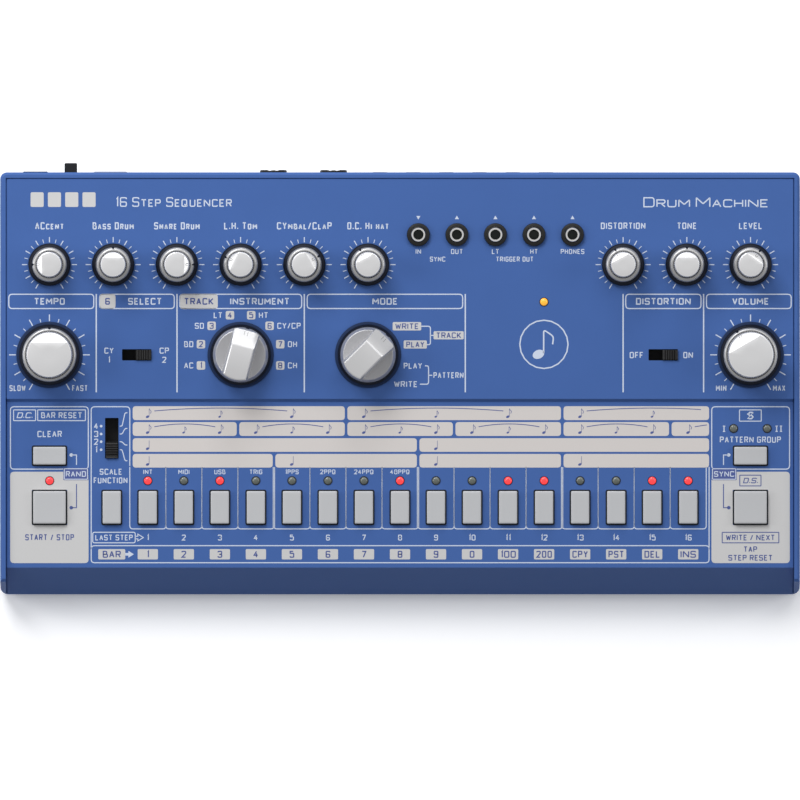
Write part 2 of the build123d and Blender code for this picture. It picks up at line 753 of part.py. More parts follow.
# ---------------------------------------------------------------- slide switches
# Each body has a channel along its top in which the foot of its lever runs.
slide_body_top = slide_body_height - panel_board_depth
scale_body_top = slide_body_height - button_board_depth
with BuildPart() as slide_switch_bodies:
    with BuildSketch(upper.offset(-panel_board_depth)) as slide_cans:
        with Locations(*slide_spots):
            Rectangle(slide_body_length, slide_body_width)
    extrude(amount=slide_body_height)
    with BuildSketch(lower.offset(-button_board_depth)) as scale_can:
        with Locations(scale_spot):
            Rectangle(*scale_body)
    extrude(amount=slide_body_height)
    with BuildSketch(upper.offset(slide_body_top)) as slide_channels:
        with Locations(*slide_spots):
            Rectangle(slide_slot_length, slide_lever_width + 2 * slide_foot_clearance)
    extrude(amount=-slide_foot_depth, mode=Mode.SUBTRACT)
    with BuildSketch(lower.offset(scale_body_top)) as scale_channel:
        with Locations(scale_spot):
            Rectangle(scale_lever[0] + 2 * slide_foot_clearance, scale_slot[1])
    extrude(amount=-slide_foot_depth, mode=Mode.SUBTRACT)
export(slide_switch_bodies, "slide_switch_bodies")


def slide_lever(name, plane, x, y, width, length, body_top, ridge_turn):
    """A switch lever: a block from its channel up through the panel, with grip ridges on top."""
    foot = body_top - slide_foot_depth + slide_foot_clearance
    with BuildPart() as lever:
        with BuildSketch(plane.offset(foot)) as block:
            with Locations((x, y)):
                Rectangle(width, length)
        extrude(amount=slide_lever_proud - foot)
        with BuildSketch(plane.offset(slide_lever_proud)) as ridges:
            with Locations(Location((x, y, 0), (0, 0, ridge_turn))):
                with GridLocations(slide_ridge_pitch, 0, slide_ridge_count, 1):
                    Rectangle(slide_ridge_pitch / 2, 2 * max(width, length))
        extrude(amount=-slide_ridge_depth, mode=Mode.SUBTRACT)
    export(lever, name)


for name, (x, y) in (("select_lever", slide_spots[0]), ("distortion_lever", slide_spots[1])):
    slide_lever(name, upper, x + slide_travel / 2, y, slide_lever_length, slide_lever_width, slide_body_top, 0)
slide_lever(
    "scale_lever", lower, scale_spot[0], scale_spot[1] - scale_travel / 2, *scale_lever, scale_body_top, 90
)

# ---------------------------------------------------------------- panel_jacks, jack_nuts
jack_body_top = jack_body_height - panel_board_depth
with BuildPart() as panel_jacks:
    with BuildSketch(upper.offset(-panel_board_depth)) as jack_cans:
        with Locations(*jack_spots):
            Rectangle(jack_body_width, jack_body_width)
    extrude(amount=jack_body_height)
    with BuildSketch(upper.offset(jack_body_top)) as jack_bushes:
        with Locations(*jack_spots):
            Circle(jack_bush_radius)
    extrude(amount=jack_bush_proud - jack_body_top)
    with BuildSketch(upper.offset(jack_bush_proud)) as jack_bores:
        with Locations(*jack_spots):
            Circle(jack_bore_radius)
    extrude(amount=-jack_bore_length, mode=Mode.SUBTRACT)
export(panel_jacks, "panel_jacks")

with BuildPart() as jack_nuts:
    with BuildSketch(upper) as nut_plan:
        with Locations(*jack_spots):
            Circle(nut_radius)
            Circle(jack_bush_radius + nut_clearance, mode=Mode.SUBTRACT)
    extrude(amount=nut_height)
    nut_rims = jack_nuts.edges().filter_by(GeomType.CIRCLE)
    nut_rims = [e for e in nut_rims if e.radius > nut_radius - nut_clearance]
    chamfer([e for e in nut_rims if upper.to_local_coords(e.arc_center).Z > nut_height / 2], nut_height / 4)
export(jack_nuts, "jack_nuts")

# ---------------------------------------------------------------- lamps
def lamps(name, plane, board_depth, spots):
    """Domed lamps, each held up by a spacer that stands on its board."""
    with BuildPart() as group:
        with BuildSketch(plane.offset(-board_depth)) as spacers:
            with Locations(*spots):
                Circle(lamp_spacer_radius)
        extrude(amount=board_depth - lamp_shoulder)
        with BuildSketch(plane.offset(-lamp_shoulder)) as lenses:
            with Locations(*spots):
                Circle(lamp_radius)
        extrude(amount=lamp_shoulder + lamp_proud)
        tips = [f for f in group.faces().filter_by(GeomType.PLANE)
                if plane.to_local_coords(f.center()).Z > lamp_proud / 2]
        fillet([edge for face in tips for edge in face.edges()], lamp_dome)
    export(group, name)


lit_spots = [spot for step, spot in enumerate(step_lamp_spots, 1) if step in lit_steps] + [start_lamp_spot]
dark_spots = [spot for step, spot in enumerate(step_lamp_spots, 1) if step not in lit_steps]
lamps("lit_lamps", lower, button_board_depth, lit_spots)
lamps("unlit_lamps", lower, button_board_depth, dark_spots + group_lamp_spots)
lamps("status_lamp", upper, panel_board_depth, [status_lamp_spot])

# ---------------------------------------------------------------- push_switches
# One push switch under each button, with a bore that the button's plunger enters.
switch_spots = narrow_spots + square_spots + short_spots
switch_top = switch_height - button_board_depth
with BuildPart() as push_switches:
    with BuildSketch(lower.offset(-button_board_depth)) as switch_cans:
        with Locations(*switch_spots):
            Rectangle(switch_width, switch_width)
    extrude(amount=switch_height)
    with BuildSketch(lower.offset(switch_top)) as switch_bores:
        with Locations(*switch_spots):
            Circle(plunger_radius + plunger_running)
    extrude(amount=-(plunger_entry + button_travel + plunger_end_gap), mode=Mode.SUBTRACT)
export(push_switches, "push_switches")


def button(name, size, x, y):
    """A button: bevelled cap, a flange that holds it under the panel, and a plunger into its switch."""
    width, length = size
    flange_top = -case_wall - button_flange_gap
    flange_foot = flange_top - button_flange_height
    with BuildPart() as cap:
        with BuildSketch(lower.offset(flange_foot)) as cap_plan:
            with Locations((x, y)):
                RectangleRounded(width, length, button_corner)
        extrude(amount=button_proud - flange_foot)
        top_face = cap.faces().sort_by(Axis(lower.origin, lower.z_dir))[-1]
        chamfer(top_face.edges(), button_bevel)
        with BuildSketch(lower.offset(flange_foot)) as flange_plan:
            with Locations((x, y)):
                RectangleRounded(width + 2 * button_flange, length + 2 * button_flange, button_corner)
        extrude(amount=button_flange_height)
        with BuildSketch(lower.offset(flange_foot)) as plunger:
            with Locations((x, y)):
                Circle(plunger_radius)
        extrude(amount=switch_top - plunger_entry - flange_foot)
    export(cap, name)


for step, (x, y) in enumerate(narrow_spots[1:], 1):
    button(f"step_button_{step}", step_button, x, y)
button("function_button", step_button, *narrow_spots[0])
button("start_button", square_button, *square_spots[0])
button("tap_button", square_button, *square_spots[1])
button("clear_button", short_button, *short_spots[0])
button("group_button", short_button, *short_spots[1])


# ---------------------------------------------------------------- knobs
def shaft_profile(radius, flat):
    """A round shaft's section with one flat, on the side away from the pointer."""
    Circle(radius)
    with Locations((0, -flat - radius)):
        Rectangle(2 * radius, 2 * radius, mode=Mode.SUBTRACT)


def shaft_room(base, bore_top):
    """Cut the bore for a shaft into the knob being built."""
    with BuildSketch(base) as bore:
        shaft_profile(shaft_radius + shaft_seat, shaft_flat + shaft_seat)
    extrude(bore.sketch, amount=bore_top, mode=Mode.SUBTRACT)


def shaft_solid(base, bore_top, bearing_top):
    """Add the shaft to the knob being built: round in its bearing, with the flat from the panel up."""
    with BuildSketch(base.offset(control_gap - case_wall)) as flat_part:
        shaft_profile(shaft_radius, shaft_flat)
    extrude(flat_part.sketch, amount=bore_top - shaft_end_gap - control_gap + case_wall)
    with BuildSketch(base.offset(control_gap - case_wall)) as round_part:
        Circle(shaft_radius)
    extrude(round_part.sketch, amount=bearing_top - bearing_depth + shaft_end_gap - control_gap + case_wall)


def pointer_cut(base, radius, height, start, angle, notch, foot):
    """Cut the pointer's slanted facet into the knob being built, and the notch at its lower end."""
    lengthwise = Plane(origin=base.origin, x_dir=base.y_dir, z_dir=base.x_dir)
    reach = radius + knob_wall
    fall = tan(radians(angle))
    with BuildSketch(lengthwise) as facet:
        with BuildLine():
            Polyline((start, height), (reach, height - (reach - start) * fall), (reach, height + knob_wall),
                     (start, height + knob_wall), close=True)
        make_face()
    extrude(facet.sketch, amount=reach, both=True, mode=Mode.SUBTRACT)
    floor_start = height - (foot - start) * fall - notch_depth
    floor_end = height - (reach - start) * fall - notch_depth
    with BuildSketch(lengthwise) as notch_side:
        with BuildLine():
            Polyline((foot, floor_start), (reach, floor_end), (reach, height), (foot, height), close=True)
        make_face()
    extrude(notch_side.sketch, amount=notch / 2, both=True, mode=Mode.SUBTRACT)


def round_knob(name, size, x, row, angle):
    """A pot's knob: black skirt, bevelled shoulder, tall grip and a slanted pointer facet, on its shaft."""
    base = turned(upper, x, row, angle)
    axial = Plane(origin=base.origin, x_dir=base.x_dir, z_dir=-base.y_dir)
    skirt, shoulder, grip, top = size["skirt"], size["shoulder"], size["grip"], size["top"]
    height = size["height"]
    inner = skirt - knob_wall
    roof = skirt_height - knob_wall / 2
    hub = shaft_radius + knob_wall
    with BuildPart() as knob:
        with BuildSketch(axial) as section:
            with BuildLine():
                Polyline(
                    (0, control_gap), (skirt, control_gap), (skirt - skirt_taper, skirt_height),
                    (shoulder, skirt_height), (shoulder, skirt_height + shoulder_edge), (grip, shoulder_height),
                    (top, height), (0, height), close=True,
                )
            make_face()
        revolve(axis=Axis(base.origin, base.z_dir))
        with BuildSketch(axial) as skirt_hollow:
            with BuildLine():
                Polyline((hub, 0), (inner, 0), (inner, roof), (hub, roof), close=True)
            make_face()
        revolve(axis=Axis(base.origin, base.z_dir), mode=Mode.SUBTRACT)
        if grip - knob_wall > hub + knob_wall:
            with BuildSketch(axial) as grip_hollow:
                with BuildLine():
                    Polyline((hub, 0), (top - knob_wall, 0), (top - knob_wall, height - grip_roof),
                             (hub, height - grip_roof), close=True)
                make_face()
            revolve(axis=Axis(base.origin, base.z_dir), mode=Mode.SUBTRACT)
        facet = size["facet"]
        pointer_cut(base, grip, height, facet, facet_slope, size["notch"], (facet + grip) / 2)
        shaft_room(base, height - shaft_cover)
        shaft_solid(base, height - shaft_cover, pot_top)
    export(knob, name)


def selector_knob(name, x, row, angle):
    """A rotary switch's knob: a disc with two low ears and a tall bar across it, sloping at the pointer."""
    base = turned(upper, x, row, angle)
    axial = Plane(origin=base.origin, x_dir=base.x_dir, z_dir=-base.y_dir)
    hub = shaft_radius + knob_wall
    roof = skirt_height - knob_wall / 2
    with BuildPart() as knob:
        with BuildSketch(axial) as bar_section:
            with BuildLine():
                Polyline(
                    (-selector_bar_foot / 2, shoulder_height), (selector_bar_foot / 2, shoulder_height),
                    (selector_bar_top / 2, selector_height), (-selector_bar_top / 2, selector_height), close=True,
                )
            make_face()
        extrude(amount=selector_skirt, both=True)
        with BuildSketch(base) as bar_plan:
            Circle(selector_ear)
        extrude(amount=selector_height, mode=Mode.INTERSECT)
        pointer_cut(base, selector_ear, selector_height, selector_bar_end, selector_end_slope,
                    large_knob["notch"], (selector_bar_end + selector_ear) / 2)
        with BuildSketch(axial) as section:
            with BuildLine():
                Polyline(
                    (0, control_gap), (selector_skirt, control_gap), (selector_skirt - skirt_taper, skirt_height),
                    (selector_disc, skirt_height), (selector_disc, skirt_height + shoulder_edge),
                    (selector_ear, selector_ear_height), (0, selector_ear_height), close=True,
                )
            make_face()
        revolve(axis=Axis(base.origin, base.z_dir))
        with BuildSketch(axial) as skirt_hollow:
            with BuildLine():
                Polyline((hub, 0), (selector_skirt - knob_wall, 0), (selector_skirt - knob_wall, roof),
                         (hub, roof), close=True)
            make_face()
        revolve(axis=Axis(base.origin, base.z_dir), mode=Mode.SUBTRACT)
        shaft_room(base, selector_height - selector_shaft_cover)
        shaft_solid(base, selector_height - selector_shaft_cover, rotary_top)
    export(knob, name)


for (name, angle), x in zip(small_knobs, column_x):
    round_knob(name, small_knob, x, small_knob_row, angle)
round_knob("tempo_knob", large_knob, large_knob_x[0], large_knob_row, tempo_angle)
round_knob("volume_knob", large_knob, large_knob_x[1], large_knob_row, volume_angle)
selector_knob("instrument_selector", selector_x[0], large_knob_row, instrument_angle)
selector_knob("mode_selector", selector_x[1], large_knob_row, mode_angle)

# ---------------------------------------------------------------- sockets on the rear board
def rear_face(row):
    """A plane parallel to the rear wall, whose x runs to the left and whose y runs out of the panel's face."""
    return Plane(origin=(0, *side_point(row, 0)), x_dir=(-1, 0, 0), z_dir=(0, across, rise))


with BuildPart() as power_inlet:
    with BuildSketch(rear_face(-inlet_proud)) as inlet_face:
        with Locations((-inlet_x, inlet_level)):
            Rectangle(inlet_width, inlet_height)
    extrude(amount=-inlet_depth)
    with BuildSketch(rear_face(-inlet_proud)) as inlet_bore:
        with Locations((-inlet_x, inlet_level)):
            Circle(inlet_bore_radius)
            Circle(inlet_pin_radius, mode=Mode.SUBTRACT)
    extrude(amount=-inlet_bore_depth, mode=Mode.SUBTRACT)
export(power_inlet, "power_inlet")

with BuildPart() as usb_socket:
    with BuildSketch(rear_face(-usb_proud)) as usb_face:
        with Locations((-usb_x, usb_level)):
            Rectangle(usb_width, usb_height)
    extrude(amount=-usb_depth)
    with BuildSketch(rear_face(-usb_proud)) as usb_opening:
        with Locations((-usb_x, usb_level)):
            Rectangle(*usb_mouth)
        chamfer(usb_opening.vertices().group_by(Axis.Y)[-1], usb_mouth_bevel)
        with Locations((-usb_x, usb_level)):
            Rectangle(*usb_tongue, mode=Mode.SUBTRACT)
    extrude(amount=-usb_mouth_depth, mode=Mode.SUBTRACT)
export(usb_socket, "usb_socket")

with BuildPart() as din_sockets:
    with BuildSketch(rear_face(inner_rear_row)) as din_cans:
        with Locations(*[(-x, din_level) for x in din_x]):
            Rectangle(din_body_width, din_body_height)
    extrude(amount=-din_body_depth)
    with BuildSketch(rear_face(inner_rear_row)) as din_collars:
        with Locations(*[(-x, din_level) for x in din_x]):
            Circle(din_collar_radius)
    extrude(amount=inner_rear_row)
    with BuildSketch(rear_face(0)) as din_rings:
        with Locations(*[(-x, din_level) for x in din_x]):
            Circle(din_collar_radius - din_ring)
        with Locations(*[(-x, din_level + din_collar_radius) for x in din_x]):
            Rectangle(din_key_width, 2 * (din_collar_radius - din_core_radius))
    extrude(amount=-din_recess, mode=Mode.SUBTRACT)
    with BuildSketch(rear_face(din_recess - din_seat_gap)) as din_cores:
        with Locations(*[(-x, din_level) for x in din_x]):
            Circle(din_core_radius)
    extrude(amount=din_recess - din_seat_gap + din_core_proud - din_core_bevel)
    with BuildSketch(rear_face(din_core_bevel - din_core_proud)) as din_tips:
        with Locations(*[(-x, din_level) for x in din_x]):
            Circle(din_core_radius)
    extrude(amount=din_core_bevel, taper=45)
    groove_span, groove_cut = din_core_groove
    with BuildSketch(rear_face(-din_core_proud)) as din_grooves:
        with Locations(*[(-x, din_level) for x in din_x]):
            Rectangle(groove_span, 2 * din_core_radius)
    extrude(amount=-groove_cut, mode=Mode.SUBTRACT)
export(din_sockets, "din_sockets")

with BuildPart() as rear_jacks:
    with BuildSketch(rear_face(inner_rear_row)) as line_cans:
        with Locations(*[(-x, line_jack_level) for x in line_jack_spots]):
            Rectangle(line_jack_width, line_jack_height)
    extrude(amount=-line_jack_depth)
    with BuildSketch(rear_face(inner_rear_row)) as line_bushes:
        with Locations(*[(-x, line_jack_level) for x in line_jack_spots]):
            Circle(line_jack_bush_radius)
    extrude(amount=inner_rear_row + line_jack_proud)
    with BuildSketch(rear_face(-line_jack_proud)) as line_bores:
        with Locations(*[(-x, line_jack_level) for x in line_jack_spots]):
            Circle(jack_bore_radius)
    extrude(amount=-jack_bore_length, mode=Mode.SUBTRACT)
export(rear_jacks, "rear_jacks")

# ---------------------------------------------------------------- power switch
with BuildPart() as power_switch_body:
    with BuildSketch(rear_face(inner_rear_row)) as power_can:
        with Locations((-power_slot_x, power_level)):
            Rectangle(power_slot_length + 2 * power_body_side, power_body_height)
    extrude(amount=-power_body_depth)
    with BuildSketch(rear_face(inner_rear_row)) as power_channel:
        with Locations((-power_slot_x, power_level)):
            Rectangle(power_slot_length, power_lever_height + 2 * slide_foot_clearance)
    extrude(amount=-power_foot_depth, mode=Mode.SUBTRACT)
export(power_switch_body, "power_switch_body")

with BuildPart() as power_lever:
    with BuildSketch(rear_face(inner_rear_row + power_foot_depth - slide_foot_clearance)) as lever_face:
        with Locations((-power_lever_x, power_level)):
            Rectangle(power_lever_width, power_lever_height)
    extrude(amount=power_lever_proud + inner_rear_row + power_foot_depth - slide_foot_clearance)
    chamfer(power_lever.faces().sort_by(Axis.Y)[-1].edges(), slot_corner)
export(power_lever, "power_lever")

# ---------------------------------------------------------------- ribbon_cables
# Two short flat cables: upper board to lower board, and upper board down to the rear board.
panel_underside = upper.offset(-panel_board_depth - board_thickness)
button_underside = lower.offset(-button_board_depth - board_thickness)
panel_foot = panel_underside.from_local_coords(Vector(0, ribbon_end - panel_board_end, 0))
button_foot = button_underside.from_local_coords(Vector(0, -button_board_start - ribbon_end, 0))
panel_rear = panel_underside.from_local_coords(Vector(0, -panel_board_start - ribbon_end, 0))
io_foot = upper.from_local_coords(Vector(0, ribbon_end - io_board_row - io_board_depth, -io_board_drop))
below = upper.z_dir * -ribbon_sag
ribbon_routes = (
    (panel_foot, panel_foot + below, button_foot + below, button_foot),
    (panel_rear, panel_rear + below, io_foot - below, io_foot),
)
with BuildPart() as ribbon_cables:
    for route in ribbon_routes:
        with BuildSketch(Plane.YZ.offset(ribbon_x - ribbon_width / 2)) as ribbon_side:
            with BuildLine():
                Polyline(*[(point.Y, point.Z) for point in route])
            trace(line_width=ribbon_thickness)
        extrude(amount=ribbon_width)
export(ribbon_cables, "ribbon_cables")
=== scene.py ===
import json
import bpy
import numpy as np
from math import atan2, cos, pi, radians, sin, tan
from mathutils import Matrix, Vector


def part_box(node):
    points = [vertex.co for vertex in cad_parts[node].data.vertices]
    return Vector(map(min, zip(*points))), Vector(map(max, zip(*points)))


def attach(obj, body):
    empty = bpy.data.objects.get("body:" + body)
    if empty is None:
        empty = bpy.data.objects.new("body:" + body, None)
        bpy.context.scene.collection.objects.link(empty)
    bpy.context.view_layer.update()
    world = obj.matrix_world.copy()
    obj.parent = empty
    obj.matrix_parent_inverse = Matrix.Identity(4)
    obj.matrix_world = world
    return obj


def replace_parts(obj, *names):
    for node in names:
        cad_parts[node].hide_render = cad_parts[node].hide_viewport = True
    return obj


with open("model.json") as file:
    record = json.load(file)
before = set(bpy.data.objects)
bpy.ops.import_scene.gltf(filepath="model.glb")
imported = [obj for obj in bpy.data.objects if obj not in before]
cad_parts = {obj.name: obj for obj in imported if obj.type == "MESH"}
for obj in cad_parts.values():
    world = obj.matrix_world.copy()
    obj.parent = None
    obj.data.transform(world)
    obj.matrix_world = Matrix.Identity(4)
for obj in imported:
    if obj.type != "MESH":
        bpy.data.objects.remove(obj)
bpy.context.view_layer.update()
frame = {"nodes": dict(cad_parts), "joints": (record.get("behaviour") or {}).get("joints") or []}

# ------------------------ studio
# A plain pale floor under soft lamps: the main softbox hangs behind and to the left, low boxes on
# three sides give the silver knobs something to mirror, and the camera looks square at the panel.
# Places on the panel are millimetres to the right of its middle and down from its rear edge.
mm = 0.001
joints = {joint["name"]: joint for joint in frame["joints"]}
outward = -np.array(joints["tempo_turn"]["axis"])
up_slope = np.cross(outward, (1.0, 0.0, 0.0))
tempo_down = 69.6
rear_edge = np.array(joints["tempo_turn"]["pos_m"]) / mm + tempo_down * up_slope
rear_edge[0] = 0.0
picture_width = 305.13
picture_middle = (0.0, 86.83)
camera_distance = 12000.0
floor_reach = 4000.0
floor_albedo = 0.42
sky = 0.22
mirrored_sky = 0.5
softboxes = {
    "rear left softbox": ((-560.0, 820.0, 1150.0), 620.0, 12.0),
    "rear right softbox": ((620.0, 700.0, 1300.0), 620.0, 3.6),
    "left box": ((-900.0, 60.0, 520.0), 420.0, 2.6),
    "rear box": ((0.0, 950.0, 600.0), 420.0, 2.8),
    "right box": ((900.0, 60.0, 520.0), 400.0, 1.7),
}

scene = bpy.context.scene
scene.view_settings.view_transform = "Standard"

for name, (place, side, watts) in softboxes.items():
    light = bpy.data.lights.new(name, "AREA")
    light.size = side * mm
    light.energy = watts
    softbox = bpy.data.objects.new(name, light)
    softbox.location = Vector(place) * mm
    softbox.rotation_euler = Vector(place).to_track_quat("Z", "Y").to_euler()
    softbox.visible_camera = False
    scene.collection.objects.link(softbox)

lens = bpy.data.cameras.new("camera")
lens.sensor_width = 36.0
lens.lens = lens.sensor_width * camera_distance / picture_width
camera = bpy.data.objects.new("camera", lens)
aim = rear_edge - picture_middle[1] * up_slope
aim[0] = picture_middle[0]
camera.location = Vector(aim + camera_distance * outward) * mm
camera.rotation_euler = (atan2(-outward[1], outward[2]), 0, 0)
scene.collection.objects.link(camera)
scene.camera = camera


class Wire:
    """An output socket. Arithmetic on it, from either side, adds Math nodes to the tree it is in."""

    def __init__(self, tree, socket):
        self.tree = tree
        self.socket = socket

    def maths(self, operation, *values):
        return add_node(self.tree, "ShaderNodeMath", {"operation": operation}, dict(enumerate(values)))

    def __add__(self, other):
        return self.maths("ADD", self, other)

    def __mul__(self, other):
        return self.maths("MULTIPLY", self, other)

    __radd__ = __add__
    __rmul__ = __mul__


def add_node(tree, kind, settings, inputs, output=0):
    """A new node. Each of its inputs is given by number or name, as a value or as a Wire."""
    made = tree.nodes.new(kind)
    for setting, value in settings.items():
        setattr(made, setting, value)
    for socket, value in inputs.items():
        if isinstance(value, Wire):
            tree.links.new(value.socket, made.inputs[socket])
        else:
            made.inputs[socket].default_value = value
    return Wire(tree, made.outputs[output])


class Finish:
    """A material on one Principled shader. What is even over a surface is set by its socket's name,
    what varies is made with node() and led to the shader with feed()."""

    def __init__(self, name, color, **sockets):
        self.material = bpy.data.materials.new(name)
        self.material.use_nodes = True
        self.tree = self.material.node_tree
        self.shader = self.tree.nodes["Principled BSDF"]
        self.color = color
        self.shader.inputs["Base Color"].default_value = (*color, 1)
        for socket, value in sockets.items():
            self.shader.inputs[socket.replace("_", " ")].default_value = value
        self.place = self.node("ShaderNodeTexCoord", {}, {}, "Object")

    def node(self, *parts):
        return add_node(self.tree, *parts)

    def feed(self, socket, wire):
        self.tree.links.new(wire.socket, self.shader.inputs[socket])

    def noise(self, size, detail=2.0):
        """Noise from 0 to 1 with lumps of that size in millimetres."""
        inputs = {"Vector": self.place, "Scale": 1 / (size * mm), "Detail": detail}
        return self.node("ShaderNodeTexNoise", {}, inputs)

    def tint(self, share, amount):
        """Base colour that goes from darker to lighter by a small share of itself."""
        low = [c * (1 - amount) for c in self.color] + [1]
        high = [c * (1 + amount) for c in self.color] + [1]
        inputs = {0: share, 6: low, 7: high}
        self.feed("Base Color", self.node("ShaderNodeMix", {"data_type": "RGBA"}, inputs, 2))

    def bump(self, height, depth):
        inputs = {"Height": height, "Distance": depth * mm, "Strength": 1.0}
        self.feed("Normal", self.node("ShaderNodeBump", {}, inputs, "Normal"))

    def ridged(self, way, scale, tint, depth):
        """Even ridges across one way, which shift the colour and the height."""
        settings = {"wave_type": "BANDS", "bands_direction": way}
        ridges = self.node("ShaderNodeTexWave", settings, {"Vector": self.place, "Scale": scale})
        self.tint(ridges, tint)
        self.bump(ridges, depth)

    def grained(self, size, tint, rough=None, depth=0.0, detail=2.0):
        """A grain that shifts the colour by a share, the roughness by (least, spread), and the height."""
        grain = self.noise(size, detail)
        if tint:
            self.tint(grain, tint)
        if rough:
            self.feed("Roughness", rough[0] + rough[1] * grain)
        if depth:
            self.bump(grain, depth)
        return self

    def dress(self, *nodes):
        """Gives CAD nodes this finish."""
        for node in nodes:
            mesh = frame["nodes"][node].data
            mesh.materials.clear()
            mesh.materials.append(self.material)


world = bpy.data.worlds.new("studio")
world.use_nodes = True
scene.world = world
sky_tree = world.node_tree
soft_sky, white_sky = [
    add_node(sky_tree, "ShaderNodeBackground", {}, {"Color": (1, 1, 1, 1), "Strength": strength})
    for strength in (sky, 1.0)
]
glossy = add_node(sky_tree, "ShaderNodeLightPath", {}, {}, "Is Glossy Ray")
straight = add_node(sky_tree, "ShaderNodeLightPath", {}, {}, "Is Camera Ray")
sky_parts = {0: mirrored_sky * glossy + straight, 1: soft_sky, 2: white_sky}
sky_mix = add_node(sky_tree, "ShaderNodeMixShader", {}, sky_parts)
sky_tree.links.new(sky_mix.socket, sky_tree.nodes["World Output"].inputs["Surface"])

floor_finish = Finish("pale floor", (floor_albedo,) * 3, Roughness=0.9)
seen = floor_finish.node("ShaderNodeLightPath", {}, {}, "Is Camera Ray")
mirrored = floor_finish.node("ShaderNodeLightPath", {}, {}, "Is Glossy Ray")
pale = floor_finish.node("ShaderNodeBsdfDiffuse", {}, {"Color": (1.0, 1.0, 1.0, 1)})
glow = floor_finish.node("ShaderNodeEmission", {}, {"Color": (0.86, 0.9, 1.0, 1), "Strength": 0.25})
lit_floor = floor_finish.node("ShaderNodeAddShader", {}, {0: pale, 1: glow})
floor_mix = floor_finish.node("ShaderNodeMixShader", {}, {
    0: seen.maths("MAXIMUM", seen, mirrored),
    1: Wire(floor_finish.tree, floor_finish.shader.outputs[0]),
    2: lit_floor,
})
floor_finish.tree.links.new(floor_mix.socket, floor_finish.tree.nodes["Material Output"].inputs["Surface"])
floor_mesh = bpy.data.meshes.new("floor")
floor_signs = [(-1, -1), (1, -1), (1, 1), (-1, 1)]
floor_corners = [(x * floor_reach * mm, y * floor_reach * mm, 0) for x, y in floor_signs]
floor_mesh.from_pydata(floor_corners, [], [(0, 1, 2, 3)])
floor_mesh.materials.append(floor_finish.material)
floor = bpy.data.objects.new("floor", floor_mesh)
scene.collection.objects.link(floor)

# ------------------------ case mouldings
# Top and bottom are injection-moulded ABS, dyed blue through, from a tool with a fine etched
# grain. They meet at a seam near the table and are screwed together from below.
moulded = Finish("blue moulded plastic", (0.060, 0.134, 0.385), Specular_IOR_Level=0.15)
grain = moulded.noise(0.35, 3.0)
cloud = moulded.noise(14.0, 2.0)
moulded.tint(0.35 * grain + 0.65 * cloud, 0.05)
moulded.feed("Roughness", 0.44 + 0.14 * grain)
moulded.bump(grain, 0.012)
moulded.dress("top_case")

tray_finish = Finish("blue tray plastic", (0.036, 0.088, 0.27), Specular_IOR_Level=0.3)
tray_finish.grained(0.5, 0.06, (0.45, 0.15), 0.02, 3.0).dress("bottom_case")

# ------------------------ panel print
# White and blue ink, screen-printed on the moulded faces after moulding: lines, blocks, scales
# and plain function words. Each line is a thin film of ink with a width of its own.
lower_drop = 1.2
film = 0.035
sunk = 0.02
corner_steps = 4


def skin(rows, close_first=True, close_last=True):
    """Rings of points, each joined to the next by quads; a ring's points run anticlockwise when
    they are seen from the last ring, and the end rings are closed by one flat face each."""
    rows = np.asarray(rows, float)
    count, around = rows.shape[:2]
    index = np.arange(count * around).reshape(count, around)
    ahead = np.roll(index, -1, axis=1)
    faces = np.stack((index[:-1], ahead[:-1], ahead[1:], index[1:]), axis=-1).reshape(-1, 4).tolist()
    if close_first:
        faces.append(index[0, ::-1].tolist())
    if close_last:
        faces.append(index[-1].tolist())
    return rows.reshape(-1, 3), faces


def piece(name, skins, finish, body):
    """One object from several skins, in millimetres, riding on its body, with its sharp edges kept."""
    faces, first = [], 0
    for points, quads in skins:
        faces += [[first + corner for corner in face] for face in quads]
        first += len(points)
    mesh = bpy.data.meshes.new(name)
    mesh.from_pydata(np.vstack([points for points, quads in skins]) * mm, [], faces)
    mesh.materials.append(finish.material)
    mesh.shade_smooth()
    mesh.set_sharp_from_angle(angle=radians(30))
    made = bpy.data.objects.new(name, mesh)
    scene.collection.objects.link(made)
    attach(made, body)
    return made


def on_panel(places, lift, drop):
    """Places across and up the slope (down is negative), lifted off the face; drop is how much lower
    than the upper panel's the face lies."""
    places = np.asarray(places, float)
    return rear_edge + places[..., :1] * (1, 0, 0) + places[..., 1:2] * up_slope + (lift - drop) * outward


def place_of(joint):
    """Where a control's axis goes through the panel, across and up the slope."""
    away = np.array(joints[joint]["pos_m"]) / mm - rear_edge
    return np.array((away[0], away @ up_slope))


def rounded(corners, radii):
    """A line through corners, each rounded by a parabola that starts and ends its radius away from it."""
    corners = np.asarray(corners, float)
    radii = np.broadcast_to(radii, len(corners))
    share = np.linspace(0, 1, corner_steps + 1)[:, None]
    line = [corners[:1]]
    for before, corner, after, radius in zip(corners, corners[1:], corners[2:], radii[1:]):
        back, on = before - corner, after - corner
        reach = [min(radius / max(np.linalg.norm(way), radius, 1e-9), 0.49) for way in (back, on)]
        if radius == 0:
            line.append(corner[None])
        else:
            line.append(corner + (1 - share) ** 2 * reach[0] * back + share ** 2 * reach[1] * on)
    line.append(corners[-1:])
    return np.vstack(line)


